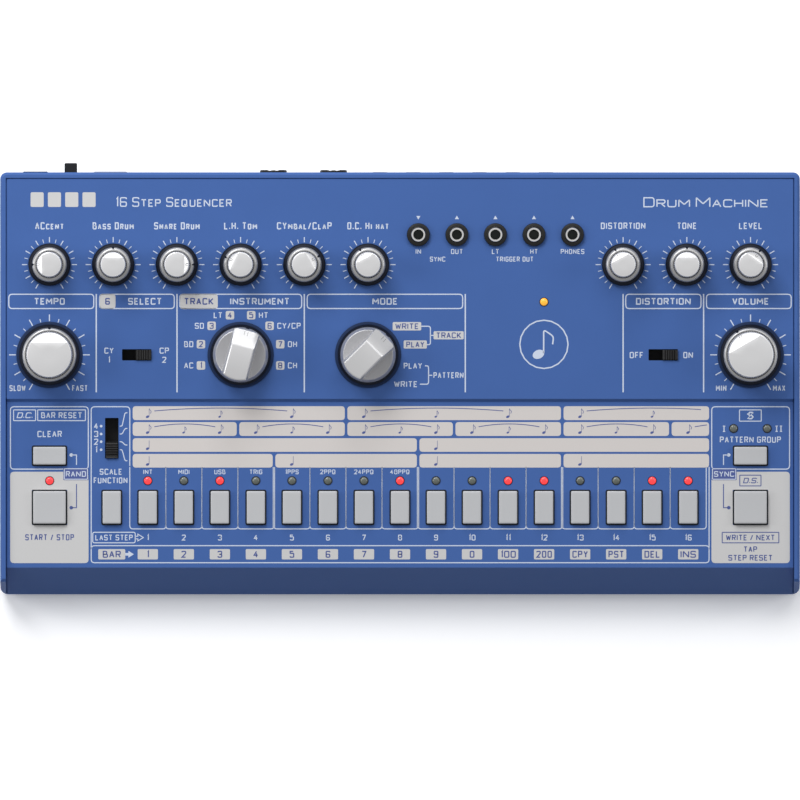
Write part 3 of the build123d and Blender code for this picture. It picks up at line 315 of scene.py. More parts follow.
def stroke(line, width, layer=0, drop=0.0):
    """A film of ink along a line: at each point the edges lie half a width to either side, on the mitre."""
    line = np.asarray(line, float)
    ways = np.diff(line, axis=0)
    ways /= np.linalg.norm(ways, axis=1, keepdims=True)
    sides = np.stack((-ways[:, 1], ways[:, 0]), axis=1)
    closed = np.allclose(line[0], line[-1])
    first, last = (sides[-1:], sides[:1]) if closed else (sides[:1], sides[-1:])
    mitre = np.vstack((first, sides)) + np.vstack((sides, last))
    mitre *= width / (mitre ** 2).sum(axis=1, keepdims=True)
    low, high = -sunk, film * (1 + layer)
    edges = ((line + mitre, low), (line + mitre, high), (line - mitre, high), (line - mitre, low))
    return skin(np.stack([on_panel(edge, lift, drop) for edge, lift in edges], axis=1))


def patch(outline, layer=0, drop=0.0):
    """A filled film of ink inside an outline that runs anticlockwise."""
    return skin(np.stack([on_panel(outline, -sunk, drop), on_panel(outline, film * (1 + layer), drop)]))


def box_line(left, right, top, bottom, radius):
    """Closed outline of a rounded box between its left, right, top and bottom."""
    high, low, mid = -top, -bottom, (left + right) / 2
    corners = [(mid, low), (right, low), (right, high), (left, high), (left, low), (mid, low)]
    return rounded(corners, radius)


def circle(count):
    """Angles of that many points round a full turn."""
    return np.linspace(0, 2 * pi, count, endpoint=False)


def disc_line(x, down, radius, flat=1.0, turn=0.0):
    """Outline of an ellipse whose short radius is a share of the long one, turned anticlockwise."""
    angle = circle(20)
    long, short = radius * np.cos(angle), flat * radius * np.sin(angle)
    across, rise = long * cos(turn) - short * sin(turn), long * sin(turn) + short * cos(turn)
    return np.stack((x + across, rise - down), axis=-1)


# Letters are drawn with a pen of even width. A point is its place across and up in pen steps, six
# steps high, r rounds the corner there, and | lifts the pen.
letters = {
    "A": "00 36|36 60|12 52", "B": "00 06 56r 53r 03|03 63r 60r 00", "C": "65 66r 06r 00r 60r 61",
    "D": "00 06 66r 60r 00", "E": "56 06 00 50|03 43", "F": "56 06 00|03 43",
    "G": "65 66r 06r 00r 60r 63 33", "H": "00 06|60 66|03 63", "I": "00 06", "K": "00 06|66 02|23 60",
    "L": "06 00 50", "M": "00 06|06 42|42 86|86 80", "N": "00 06|06 70|70 76",
    "O": "36 66r 60r 00r 06r 36", "P": "00 06 66r 63r 03", "Q": "36 66r 60r 00r 06r 36|32 70",
    "R": "00 06 66r 63r 03|33 60", "S": "65 66r 06r 03r 63r 60r 00r 01", "T": "06 66|36 30",
    "U": "06 00r 60r 66", "V": "06 30|30 66", "W": "06 20|20 45|45 60|60 86", "X": "00 66|06 60",
    "Y": "06 33|66 33|33 30", "!": "00 40|20 26|06 46", "/": "00 46", ".": "00 01",
    "0": "36 66r 60r 00r 06r 36",
    "1": "15 26 20", "2": "05 06r 66r 64 00 60", "3": "05 06r 66r 63r 23|23 63r 60r 00r 01",
    "4": "46 02 62|44 40", "5": "56 06 04 64r 60r 00r 01", "6": "65 66r 06r 00r 60r 63r 03",
    "7": "06 66 20", "8": "36 66r 63r 03r 06r 36|33 63r 60r 00r 03r 33", "9": "01 00r 60r 66r 06r 03r 63",
}
pen_share = 0.165
letter_gap = 0.17
word_gap = 0.55
step_share = 0.085
small_capital = 0.79
bend = 1.5


def write(text, x, down, height, length=None, layer=0, drop=0.0, slant=0.0, pen=pen_share, at=0.5):
    """Words as strokes of ink. The line is centred on its place, or starts (at=0) or ends (at=1) there,
    and is stretched to its length. Small letters give small capitals."""
    pen *= height
    sizes = [height * (small_capital if sign.islower() else 1.0) for sign in text]
    signs = [letters.get(sign.upper(), "") for sign in text]
    steps = [max([int(point[0]) for point in sign.replace("|", " ").split()], default=0) for sign in signs]
    gaps = [pen + letter_gap * height if sign else word_gap * height - letter_gap * height for sign in signs]
    spare = sum(gaps) - letter_gap * height
    wide = sum(size * count for size, count in zip(sizes, steps))
    step = step_share if length is None else (length - spare) / wide
    start = x - at * (spare + wide * step) + pen / 2
    base = pen / 2 - down - height / 2
    films = []
    for sign, size, count, gap in zip(signs, sizes, steps, gaps):
        for path in sign.split("|") if sign else []:
            across, rise = step * size, (size - pen) / 6
            corners = np.array([(int(point[0]) * across, int(point[1]) * rise) for point in path.split()])
            corners[:, 0] += slant * corners[:, 1] + start
            corners[:, 1] += base
            line = rounded(corners, [bend * across if point.endswith("r") else 0 for point in path.split()])
            films.append(stroke(line, pen, layer, drop))
        start += step * size * count + gap
    return films


def frame_box(left, right, top, bottom, radius=1.35, width=0.42, layer=0, drop=0.0):
    return [stroke(box_line(left, right, top, bottom, radius), width, layer, drop)]


def block(left, right, top, bottom, radius=0.9, layer=0, drop=0.0):
    return [patch(box_line(left, right, top, bottom, radius)[:-1], layer, drop)]


def holed_block(outer, inner, drop):
    """A block with a square window, both given by their left, right, top and bottom."""
    rims = [box_line(*outer, 1.5)[:-1], box_line(*inner, 0.3)[:-1]]
    corners = ((0, -sunk), (0, film), (1, film), (1, -sunk), (0, -sunk))
    return [skin(np.stack([on_panel(rims[i], lift, drop) for i, lift in corners]), False, False)]


def dot(x, down, radius, layer=0, drop=0.0):
    return [patch(disc_line(x, down, radius), layer, drop)]


def hoop(x, down, radius, width, layer=0, drop=0.0):
    line = disc_line(x, down, radius)
    return [stroke(np.vstack((line, line[:1])), width, layer, drop)]


def run(points, width=0.42, radius=0.0, layer=0, drop=0.0):
    """A line of ink through places given across and down."""
    return [stroke(rounded([(x, -down) for x, down in points], radius), width, layer, drop)]


white = []
pale = []
blue = []

# Scales round the knobs: eleven long marks over 300 degrees, with a short one between each pair.
small_knobs = ("accent", "bass_drum", "snare_drum", "tom", "cymbal", "hi_hat", "distortion", "tone", "level")
large_knobs = ("tempo", "volume")
for names, start, long_end, short_end, long_width, short_width in (
    (small_knobs, 8.5, 10.5, 9.9, 0.36, 0.28), (large_knobs, 12.8, 15.4, 14.1, 0.42, 0.32),
):
    for name in names:
        middle = place_of(name + "_turn")
        for mark in range(21):
            angle = radians(-150 + 15 * mark)
            way = np.array((sin(angle), cos(angle)))
            end, width = (short_end, short_width) if mark % 2 else (long_end, long_width)
            white.append(stroke([middle + start * way, middle + end * way], width))

# Names over the small knobs and the jacks.
knob_word_down = 20.4
knob_x = {name: joints[name + "_turn"]["pos_m"][0] / mm for name in small_knobs + large_knobs}
for name, words, height, length in (
    ("accent", "ACcent", 2.75, 10.9), ("bass_drum", "Bass Drum", 2.75, 15.7),
    ("snare_drum", "Snare Drum", 2.75, 17.4), ("tom", "L.H. Tom", 2.75, 12.6),
    ("cymbal", "CYmbal/ClaP", 2.75, 20.9), ("hi_hat", "O.C. Hi hat", 2.75, 15.8),
    ("distortion", "DISTORTION", 2.5, 17.0), ("tone", "TONE", 2.5, 7.4), ("level", "LEVEL", 2.5, 8.8),
):
    white += write(words, knob_x[name], knob_word_down, height, length)

jack_x = [7.0 + 14.7 * i for i in range(5)]
arrow_half, arrow_down = 0.78, 17.25
for i, (x, words) in enumerate(zip(jack_x, ("IN", "OUT", "LT", "HT", "PHONES"))):
    tip = -1 if i == 0 else 1
    arrow = [(x - arrow_half, -arrow_down - 0.6 * tip), (x + arrow_half, -arrow_down - 0.6 * tip),
             (x, -arrow_down + 0.75 * tip)]
    white.append(patch(arrow[::tip]))
    white += write(words, x, 30.2, 1.9, 9.0 if words == "PHONES" else None)
white += write("SYNC", (jack_x[0] + jack_x[1]) / 2, 33.1, 1.9, 5.9)
white += write("TRIGGER OUT", (jack_x[2] + jack_x[3]) / 2, 33.1, 1.9, 14.2)

# Header boxes and dividers over the large controls.
header_top, header_bottom, header_middle = 46.5, 51.95, 49.2
header_pen = 0.185
for x in (-115.85, -85.05, -36.5, 24.9, 85.1, 115.8):
    white += run([(x, header_top - 0.1), (x, 83.9)], 0.5)
word_centres = {"TEMPO": knob_x["tempo"], "VOLUME": knob_x["volume"]}
for left, right, words, length, *tile in (
    (-149.2, -116.8, "TEMPO", 11.7), (-114.6, -86.1, "SELECT", 12.8, "6", -108.5, None),
    (-84.0, -37.5, "INSTRUMENT", 22.6, "TRACK", -69.5, 11.2), (-35.4, 23.9, "MODE", 9.6),
    (86.1, 114.8, "DISTORTION", 20.9), (116.9, 149.2, "VOLUME", 13.9),
):
    white += frame_box(left, right, header_top, header_bottom)
    if tile:
        tile_words, tile_end, tile_length = tile
        pale += block(left, tile_end, header_top - 0.2, header_bottom + 0.2, 1.3)
        centre = (left + tile_end) / 2
        blue += write(tile_words, centre, header_middle, 2.6, tile_length, 1, pen=header_pen)
        left = tile_end
    centre = word_centres.get(words, (left + right) / 2)
    white += write(words, centre, header_middle, 2.6, length, pen=header_pen)

# Words beside the large controls: where they lie across and down, their height and their length.
for words, *place in (
    ("SLOW", -145.9, 82.3, 2.25, 6.1), ("FAST", -122.1, 82.3, 2.25, 5.9), ("MIN", 122.5, 82.3, 2.25, 4.0),
    ("MAX", 144.6, 82.3, 2.25, 4.7), ("OFF", 90.2, 69.7, 2.4, 5.2), ("ON", 109.9, 69.7, 2.4, 3.7),
    ("CY", -111.0, 68.0, 2.3, 3.5), ("CP", -89.9, 68.0, 2.3, 3.6),
    ("1", -111.0, 71.5, 2.3), ("2", -89.9, 71.5, 2.3),
    ("PLAY", 4.9, 73.8, 2.3, 7.0), ("WRITE", 2.2, 80.8, 2.3, 8.9), ("PATTERN", 18.5, 77.4, 2.3, 11.5),
):
    white += write(words, *place)

# Numbered tiles round the instrument selector, with the short names outside them.
selector = place_of("instrument_select")
tile_circle, tile_half = 15.65, 1.62
for i, words in enumerate(("AC", "BD", "SD", "LT", "HT", "CY/CP", "OH", "CH")):
    angle = radians(-105 + 30 * i)
    x, down = selector[0] + tile_circle * sin(angle), -selector[1] - tile_circle * cos(angle)
    pale += block(x - tile_half, x + tile_half, down - tile_half, down + tile_half, 0.7)
    blue += write(str(i + 1), x, down, 2.3, None, 1)
    outside = tile_half + 1.3
    white += write(words, x - outside if i < 4 else x + outside, down, 2.3, at=1 if i < 4 else 0)

# The four places of the mode selector, bracketed in pairs.
for words, left, right, top, bottom in (
    ("WRITE", -2.8, 8.1, 57.1, 60.3), ("PLAY", 1.4, 10.25, 64.1, 67.2), ("TRACK", 12.8, 24.3, 60.6, 63.7),
):
    pale += block(left, right, top, bottom, 0.5)
    blue += write(words, (left + right) / 2, (top + bottom) / 2, 2.2, right - left - 2.0, 1)
for points in (
    [(8.1, 58.7), (11.6, 58.7), (11.6, 65.7), (10.25, 65.7)], [(11.6, 62.2), (12.8, 62.2)],
    [(9.5, 73.8), (10.9, 73.8), (10.9, 80.8), (7.6, 80.8)], [(10.9, 77.4), (12.3, 77.4)],
):
    white += run(points, 0.4, 0.9)

# Plain words over the knobs, a row of four bars at the left of the panel, and a ring with a note.
white += write("16 Step Sequencer", -86.4, 11.3, 3.7, 44.5, pen=0.12)
white += write("Drum Machine", 116.6, 11.4, 3.9, 47.6, pen=0.12)
for i in range(4):
    pale += block(-140.9 + 6.6 * i, -135.9 + 6.6 * i, 7.6, 13.2, 0.6)
white += hoop(54.9, 65.6, 9.2, 0.5)
white.append(patch(disc_line(52.8, 69.4, 2.3, 0.72, 0.4)))
white += run([(54.8, 69.0), (54.8, 60.0), (58.6, 62.6), (58.2, 65.6)], 0.55, 1.2)

# ------------------------ print of the lower panel
# The same inks: pale blocks behind the start and tap buttons, four cream rows of note values over
# the sixteen steps, a line between each pair of steps, and rows of plain numbers.
def across_of(node):
    """Where the middle of a node lies across the panel."""
    return sum(corner.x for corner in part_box(node)) / 2 / mm


low_white = []
low_pale = []
low_cream = []
low_blue = []
low = dict(drop=lower_drop)
over = dict(layer=1, drop=lower_drop)
step_x = [across_of(f"step_button_{i + 1}") for i in range(16)]
step_pitch = step_x[1] - step_x[0]
step_lines = [step_x[0] + step_pitch * (i - 0.5) for i in range(17)]
box_left, row_right = -117.8, 117.9
outer_edge, inner_edge = 148.6, 118.9
upper_box_top, upper_box_bottom = 89.4, 113.2
block_top, block_bottom = 114.2, 149.05
strip_top, strip_bottom = 142.4, 148.9
tile_row = dict(top=143.7, bottom=147.65, radius=0.5, drop=lower_drop)
square_x = 133.65
window_down, window_half = 127.8, 6.75
link_x, link_end, link_dot = 123.4, 125.2, 0.68

for side in (-1, 1):
    left, right = sorted((side * outer_edge, side * inner_edge))
    low_white += frame_box(left, right, upper_box_top, upper_box_bottom, 1.4, 0.4, **low)
    window = (side * square_x - window_half, side * square_x + window_half)
    window += (window_down - window_half, window_down + window_half)
    low_pale += holed_block((left - 0.1, right + 0.1, block_top, block_bottom), window, **low)
    # a tag lies over the corner where the box and the block meet, with a link to each button
    tag_left, tag_right = sorted((side * 118.85, side * 128.4))
    low_blue += block(tag_left, tag_right, 112.7, 117.4, 0.35, **over)
    low_white += frame_box(tag_left + 0.35, tag_right - 0.35, 113.05, 117.05, 0.25, 0.32, 2, **low)
    for films, layer, start, end in ((low_white, 0, 111.6, 107.8), (low_blue, 1, 118.9, 127.9)):
        bent = [(side * link_x, start), (side * link_x, end), (side * link_end, end)]
        films += run(bent, 0.36, 0.0, layer, **low)
        films += dot(side * (link_end + 0.2), end, link_dot, layer, **low)
for words, x in (("RAND", -123.65), ("SYNC", 123.65)):
    low_white += write(words, x, 115.05, 2.15, 7.7, 2, **low)

for words, slant, *place in (
    ("D.C.", 0.25, -143.2, 92.65, 2.2, 6.0), ("BAR RESET", 0, -129.1, 92.65, 2.25, 15.6),
    ("CLEAR", 0, -square_x, 99.8, 2.4, 9.3), ("S", 0.1, square_x, 92.75, 2.9, 1.9),
    ("!", 0, 123.6, 97.8, 2.4, 1.3), ("!!", 0, 144.5, 97.8, 2.4, 2.9),
    ("PATTERN GROUP", 0, square_x, 101.95, 2.35, 23.3), ("SCALE", 0, -110.3, 114.2, 2.3, 8.5),
    ("FUNCTION", 0, -110.4, 117.5, 2.3, 12.9), ("LAST STEP", 0, -109.1, 139.3, 2.2, 14.3),
):
    low_white += write(words, *place, slant=slant, **low)
for words, slant, *place in (
    ("START / STOP", 0, -square_x, 139.2, 2.35, 18.6), ("D.S.", 0.25, square_x, 117.55, 2.1, 5.6),
    ("WRITE / NEXT", 0, square_x, 139.3, 2.2, 18.6), ("TAP", 0, square_x, 143.75, 2.2, 5.1),
    ("STEP RESET", 0, square_x, 147.0, 2.2, 16.8), ("BAR", 0, -109.95, 145.67, 2.65, 6.9),
):
    low_blue += write(words, *place, slant=slant, **over)
for box in (
    (-147.4, -139.0, 90.6, 94.7, 0.2, 0.36), (-138.2, -120.0, 90.6, 94.7, 0.2, 0.36),
    (129.5, 137.8, 90.6, 94.9, 0.2, 0.36), (-117.2, -101.0, 137.3, 141.3, 0.7, 0.38),
    (box_left, row_right, strip_top, strip_bottom, 1.3, 0.4),
):
    low_white += frame_box(*box, **low)
for box in ((129.6, 137.7, 115.5, 119.6), (122.9, 144.5, 137.3, 141.3)):
    low_blue += frame_box(*box, 0.2, 0.34, **over)
low_white += run([(132.5, 94.0), (134.8, 91.5)], 0.24, **low)
for x, down in ((132.6, 92.2), (134.7, 93.3)):
    low_white += dot(x, down, 0.26, **low)

# The scale switch: four numbered places, each led by a bent line to its row of note values.
row_tops, row_bottoms = (89.2, 95.25, 101.4, 107.4), (94.5, 100.55, 106.6, 112.6)
for number, mark, end in (("4", 96.8, 91.7), ("3", 99.8, 97.7), ("2", 102.75, 104.0), ("1", 105.8, 110.0)):
    low_white += write(number, -115.9, mark, 2.35, **low)
    low_white += dot(-114.0, mark, 0.5, **low)
    low_white += run([(-106.9, mark), (-106.0, mark), (-104.9, end), (-104.0, end)], 0.36, 0.7, **low)
low_white += run([(step_lines[0], 112.0), (step_lines[0], upper_box_top), (box_left, upper_box_top),
                  (box_left, 143.8)], 0.4, 1.4, **low)

# Rows of note values: cells by the steps they span, with notes in blue and a bow over each group.
row_steps = ((0, 6, 12, 16), (0, 3, 6, 9, 12, 15, 16), (0, 8, 16), (0, 4, 8, 12, 16))
for steps, top, bottom in zip(row_steps, row_tops, row_bottoms):
    for first, last in zip(steps, steps[1:]):
        left = step_lines[first] + (0.55 if first else 1.1)
        right = step_lines[last] - 0.45 if last < 16 else row_right
        low_cream += block(left, right, top, bottom, 1.25, **low)


def note(step, top, size, flag):
    """A note as a leaning oval head, a stem and, for an eighth note, a flag that hangs from its top."""
    x, foot, head = step_x[step], top + 4.0, 0.68 * size
    made = [patch(disc_line(x - 0.1, foot, head, 0.66, 0.45), 1, lower_drop)]
    stem, tip = x - 0.1 + 0.9 * head, foot - 3.1 * size
    made += run([(stem, foot - 0.1), (stem, tip)], 0.15, **over)
    if flag:
        hang = [(stem, tip), (stem + 0.2, tip + 0.5 * size), (stem + 0.85 * size, tip + 1.0 * size),
                (stem + 0.5 * size, tip + 1.9 * size)]
        made += run(hang, 0.2, 0.5, **over)
    return made


def bow(first, last, top, reach):
    """A shallow parabola over the notes from one step to another; reach cuts it short at the panel's end."""
    share = np.linspace(0, reach, 17)
    x = step_x[first] + 2.5 + share * (step_pitch * (last - first) - 4.3)
    line = np.stack((x, 4.4 * share * (1 - share) - top - 1.8), axis=-1)
    return [stroke(line, 0.29, 1, lower_drop)]


note_rows = [(row_tops[0], (0, 6, 12), 2, 0.86), (row_tops[1], range(0, 16, 3), 1, 0.2)]
for top, groups, gap, last_reach in note_rows:
    for first in groups:
        for step, size in ((first, 1.0), (first + gap, 0.75), (first + 2 * gap, 1.0)):
            if step < 16:
                low_blue += note(step, top, size, True)
        low_blue += bow(first, first + 2 * gap, top, 1.0 if first + 2 * gap < 16 else last_reach)
for top, steps in ((row_tops[2], (0, 8)), (row_tops[3], (0, 4, 8, 12))):
    for step in steps:
        low_blue += note(step, top, 1.0, False)

# A line between each pair of steps, joined under each button by a rounded trough.
trough = 136.0
for i in range(16):
    left, right = step_lines[i], step_lines[i + 1]
    low_white += run([(left, 112.4), (left, trough), (right, trough), (right, 112.4)], 0.36, 1.2, **low)
for i in (4, 8, 12):
    low_white += run([(step_lines[i], 112.4), (step_lines[i], trough - 0.6)], 0.85, **low)
for x, words in zip(step_x, ("INT", "MIDI", "USB", "TRIG", "1PPS", "2PPQ", "24PPQ", "48PPQ")):
    low_white += write(words, x, 114.25, 1.8, **low)
for i, x in enumerate(step_x):
    low_white += write(str(i + 1), x, 139.3, 2.25, **low)

# The bottom row: a tile under each step, and the two pointers at its left.
low_white += run([(row_right, 112.4), (row_right, strip_top + 1.4)], 0.4, **low)
tile_words = [str((i + 1) % 10) for i in range(10)] + ["100", "200", "CPY", "PST", "DEL", "INS"]
for x, words in zip(step_x, tile_words):
    low_pale += block(x - 3.87, x + 3.87, **tile_row)
    low_blue += write(words, x, 145.67, 2.65, 5.9 if len(words) > 1 else None, **over)
low_pale += block(-115.1, -104.8, **tile_row)


def arrow_line(tail, tip, down):
    """Outline of an arrow that points right, anticlockwise from the lower corner of its tail."""
    neck, half, spread = tip - 2.1, 0.5, 1.3
    upper = [(neck, -spread), (neck, -half), (tail, -half)]
    places = [(tail, half), (neck, half), (neck, spread), (tip, 0), *upper]
    return [(x, -down - sag) for x, sag in places]


low_white.append(patch(arrow_line(-104.9, -101.5, 145.67), **low))
low_white.append(stroke(arrow_line(-101.0, -97.9, 139.3), 0.34, **low))


def mixed_ink(name, color, roughness=0.6, tint=0.04):
    return Finish(name + " ink", color, Roughness=roughness).grained(0.25, tint, None, 0.004, 3.0)


pale_ink = mixed_ink("pale", (0.605, 0.605, 0.61))
cream_ink = mixed_ink("cream", (0.655, 0.62, 0.605))
white_ink = mixed_ink("white", (0.61, 0.68, 0.82))
blue_ink = mixed_ink("blue", (0.065, 0.098, 0.30), 0.55, 0.06)
for name, films, ink in (
    ("upper_print_white", white, white_ink), ("upper_print_pale", pale, pale_ink),
    ("upper_print_blue", blue, blue_ink),
    ("lower_print_white", low_white, white_ink), ("lower_print_pale", low_pale, pale_ink),
    ("lower_print_cream", low_cream, cream_ink), ("lower_print_blue", low_blue, blue_ink),
):
    piece(name, films, ink, "case")

# ------------------------ round knobs
# A spun and lacquered silver cap pressed on a black moulded skirt: a sloping shoulder, a grip with
# fine teeth, and a flat pointer facet cut across the top. A D-shaft from the pot holds it.
measures = ("skirt", "shoulder", "grip", "top", "height", "facet", "notch", "teeth")
knob_sizes = {
    "small": dict(zip(measures, (8.1, 6.65, 5.15, 4.7, 13.9, 2.75, 0.85, 44))),
    "large": dict(zip(measures, (11.6, 10.35, 9.1, 8.55, 14.6, 4.7, 1.1, 80))),
}
skirt_height = 2.6
shoulder_height = 4.1
skirt_gap = 0.4
shoulder_foot = skirt_height + 0.15
shoulder_rise = shoulder_height - shoulder_foot
facet_slope = tan(radians(32))
tooth_depth = 0.35
shoulder_steps = 7
shaft_radius = 3.0
shaft_reach = 8.0
rest_angles = {
    "accent": -90, "bass_drum": 0, "snare_drum": 90, "tom": -63.5, "cymbal": 60, "hi_hat": -28,
    "distortion": -28, "tone": 0, "level": 34, "tempo": 0, "volume": -30, "instrument": 15, "mode": 45,
}


def at_control(joint, angle, points):
    """Points about a control's axis, pointer along +y, turned clockwise and set on the panel."""
    turn = radians(angle)
    x = points[..., 0] * cos(turn) + points[..., 1] * sin(turn)
    y = points[..., 1] * cos(turn) - points[..., 0] * sin(turn)
    middle = np.array(joints[joint]["pos_m"]) / mm
    return middle + x[..., None] * (1, 0, 0) + y[..., None] * up_slope + points[..., 2:] * outward


def turned_rows(profile, around):
    """Rings of a turned form from (radius, height) pairs, each of which may vary with the angle."""
    rows = []
    for radius, height in profile:
        radius, height = np.broadcast_arrays(radius, height, around)[:2]
        rows.append(np.stack((radius * np.cos(around), radius * np.sin(around), height), axis=-1))
    return np.stack(rows)


def upright(place, rows, drop=0.0):
    """Points about an axis that stands square to the panel at a place across and up the slope."""
    return on_panel(rows[..., :2] + np.array(place), rows[..., 2:], drop)


def shoulder_rows(size):
    """The shoulder: it swells as a quarter ellipse from the skirt up to a flat crown round the grip."""
    crown, shoulder = size["grip"] + 0.2, size["shoulder"]
    swell = np.linspace(0, pi / 2, shoulder_steps)
    profile = [(shoulder - 0.1, skirt_height - 0.5), (shoulder, skirt_height - 0.3)]
    for step in swell:
        profile.append((crown + (shoulder - crown) * cos(step), shoulder_foot + shoulder_rise * sin(step)))
    profile += [(crown - 0.08, shoulder_height), (crown - 0.15, shoulder_height - 0.4)]
    return turned_rows(profile, circle(128))


def crease_shade_rows(size):
    """A dark ring at the crease between the shoulder and the grip, seen between the teeth: painted shade for
    the shade at the grip's foot.
    """
    edge = size["grip"] + 0.08
    return turned_rows([(edge, shoulder_height - 0.45), (edge, shoulder_height - 0.25)], circle(96))


def cap_rows(size):
    """The grip and top: teeth that fade upwards, and a top cut by the facet's plane, whose height is
    the lower of the flat top and the plane that falls from the chord."""
    around = circle(size["teeth"] * 6)
    tooth = tooth_depth * np.abs(np.sin(around * size["teeth"] / 2))
    grip, top, height, facet = size["grip"], size["top"], size["height"], size["facet"]

    def cut(radius):
        return height - facet_slope * np.maximum(radius * np.sin(around) - facet, 0)

    ahead = np.maximum(np.sin(around), 1e-3)
    chord_out = np.minimum(top - 0.36, (facet + 0.14) / ahead)
    chord_in = np.minimum(top - 0.40, (facet - 0.14) / ahead)
    profile = [
        (grip - tooth, shoulder_height - 0.4),
        (0.5 * (grip + top) - 0.7 * tooth, 0.5 * (cut(top) + shoulder_height)),
        (top - 0.3 * tooth, cut(top) - 0.3),
        (top - 0.1, cut(top - 0.1) - 0.08),
        (top - 0.32, cut(top - 0.32)),
        (chord_out, cut(chord_out) - 0.01),
        (chord_in, height),
        (0.3 * top, height),
    ]
    return turned_rows(profile, around)


def skirt_rows(size):
    """The black skirt under the cap, with a rounded outer edge."""
    outer, inner = size["skirt"], size["shoulder"]
    profile = [
        (outer - 0.7, skirt_gap), (outer - 0.1, skirt_gap + 0.05), (outer, skirt_gap + 0.25),
        (outer - 0.05, 1.5), (outer - 0.2, 1.9), (outer - 0.5, 2.15),
        (inner + 0.25, skirt_height - 0.05), (inner - 0.2, skirt_height),
    ]
    return turned_rows(profile, circle(96))


def painted_shadow_ring_rows(size):
    """A thin dark ring round the foot of the large skirts, standing for the shadow they cast on the panel:
    painted shadow.
    """
    outer = size["skirt"] + 1.0
    profile = [(outer - 0.1, skirt_gap), (outer, skirt_gap + 0.1), (outer - 0.1, 0.7), (outer - 1.3, 1.1)]
    return turned_rows(profile, circle(96))


def shaft_rows():
    """A steel shaft down into the case, with the flat that turns the knob."""
    around = circle(32)
    radius = np.minimum(shaft_radius, 2.3 / np.maximum(-np.sin(around), 1e-3))
    return turned_rows([(radius, -shaft_reach), (radius, skirt_gap + 0.3)], around)


def bar_of(half, reach, low, high):
    """A bar that runs outwards over the pointer, from its half widths, lows and highs at each reach."""
    corners = [(half, low), (half, high), (-half, high), (-half, low)]
    return np.stack([np.stack((x, reach, z), axis=-1) for x, z in corners], axis=1)


def notch_rows(size):
    """The black notch at the cap's edge: a short bar that follows the shoulder's ellipse outwards."""
    swell = np.linspace(1.25, 0.0, 5)
    crown = size["grip"] + 0.2
    reach = crown + (size["shoulder"] + 0.03 - crown) * np.cos(swell)
    height = shoulder_foot + shoulder_rise * np.sin(swell)
    half = size["notch"] / 2 * np.array([0.35, 0.75, 1.0, 1.0, 1.0])
    return bar_of(half, reach, height - 0.4, height + 0.04)


def face_line(line, half, lift, top, start, slope):
    """A dark line on a pointer's face, which is level at the top and falls by its slope from its start."""
    ways = np.gradient(line, axis=0)
    ways /= np.linalg.norm(ways, axis=1, keepdims=True)
    side = half * np.stack((-ways[:, 1], ways[:, 0]), axis=1)
    rows = []
    for edge, level in ((1, -0.03), (1, lift), (-1, lift), (-1, -0.03)):
        spot = line + edge * side
        height = top - slope * np.maximum(spot[:, 1] - start, 0) + level
        rows.append(np.concatenate((spot, height[:, None]), axis=1))
    return np.stack(rows, axis=1)


def pointer_rows(size):
    """A fine groove shaped like a U round the facet's foot."""
    half, start, end = 0.36 * size["notch"] + 0.1, size["top"] - 0.28, size["top"] - 1.15
    line = rounded([(-half, start), (-half, end), (half, end), (half, start)], half)
    return face_line(line, 0.08, 0.012, size["height"], size["facet"], facet_slope)


def silver_lacquer(name, color):
    """Metal paint: fine flakes that shift its colour and its gloss a little."""
    return Finish(name, color, Metallic=0.6).grained(0.18, 0.02, (0.32, 0.08), 0.002)


silver = silver_lacquer("silver lacquer", (0.74, 0.74, 0.75))
satin = silver_lacquer("satin silver lacquer", (0.60, 0.60, 0.61))
# A darker copy of the silver lacquer for the selectors' discs: painted shade, for the shade that the bar casts
# on the low ears.
ear_painted_shade = silver_lacquer("dull silver lacquer", (0.47, 0.47, 0.485))
# A darker copy of the silver lacquer for the knobs' sloping shoulders: painted shade, for the shade that a
# sloping ring gets.
painted_shade = silver_lacquer("smoky silver lacquer", (0.40, 0.40, 0.405))
# Dark blue for the ring round the large skirts' foot, the colour of the shadow there: painted shadow.
painted_shadow_navy = Finish("dark blue painted shadow ring", (0.012, 0.026, 0.075), Roughness=0.6, Specular_IOR_Level=0.15)
painted_shadow_navy.grained(0.4, 0.05)
skirt_black = Finish("black knob plastic", (0.002, 0.004, 0.012), Specular_IOR_Level=0.2)
skirt_black.grained(0.3, 0, (0.44, 0.16), 0.006)
# Dark grey for the engraved lines, also used for the ring of painted shade at the grip's foot.
engraved_and_painted_shade = Finish("engraved line", (0.09, 0.09, 0.09)).grained(0.2, 0, (0.5, 0.2))


def fit_control(name, joint, cap_finish, cap, base_finish, base, dark, lines):
    """A silver cap, the base under it, its black parts, and its engraved lines with any ring of painted shade,
    as one knob on its body.
    """
    angle = rest_angles[name.removesuffix("_knob").removesuffix("_selector")]
    for part, rings, finish in (
        ("cap", cap, cap_finish), ("base", base, base_finish),
        ("skirt", dark, skirt_black), ("pointer", lines, engraved_and_painted_shade),
    ):
        placed = [skin(at_control(joint, angle, rows)) for rows in rings]
        made = piece(f"{name}_{part}", placed, finish, name)
        if part == "cap":
            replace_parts(made, name)


# A ring of painted shadow round a large skirt's foot, riding on the knob's body.
def fit_flange(name, joint, size):
    flange = [skin(at_control(joint, 0, painted_shadow_ring_rows(size)))]
    piece(name + "_flange", flange, painted_shadow_navy, name)


for names, kind in ((small_knobs, "small"), (large_knobs, "large")):
    size = knob_sizes[kind]
    for name in names:
        cap, base = [cap_rows(size)], [shoulder_rows(size)]
        dark = [skirt_rows(size), shaft_rows(), notch_rows(size)]
        lines = [crease_shade_rows(size), pointer_rows(size)]
        fit_control(name + "_knob", name + "_turn", silver, cap, painted_shade, base, dark, lines)
        if kind == "large":
            fit_flange(name + "_knob", name + "_turn", size)

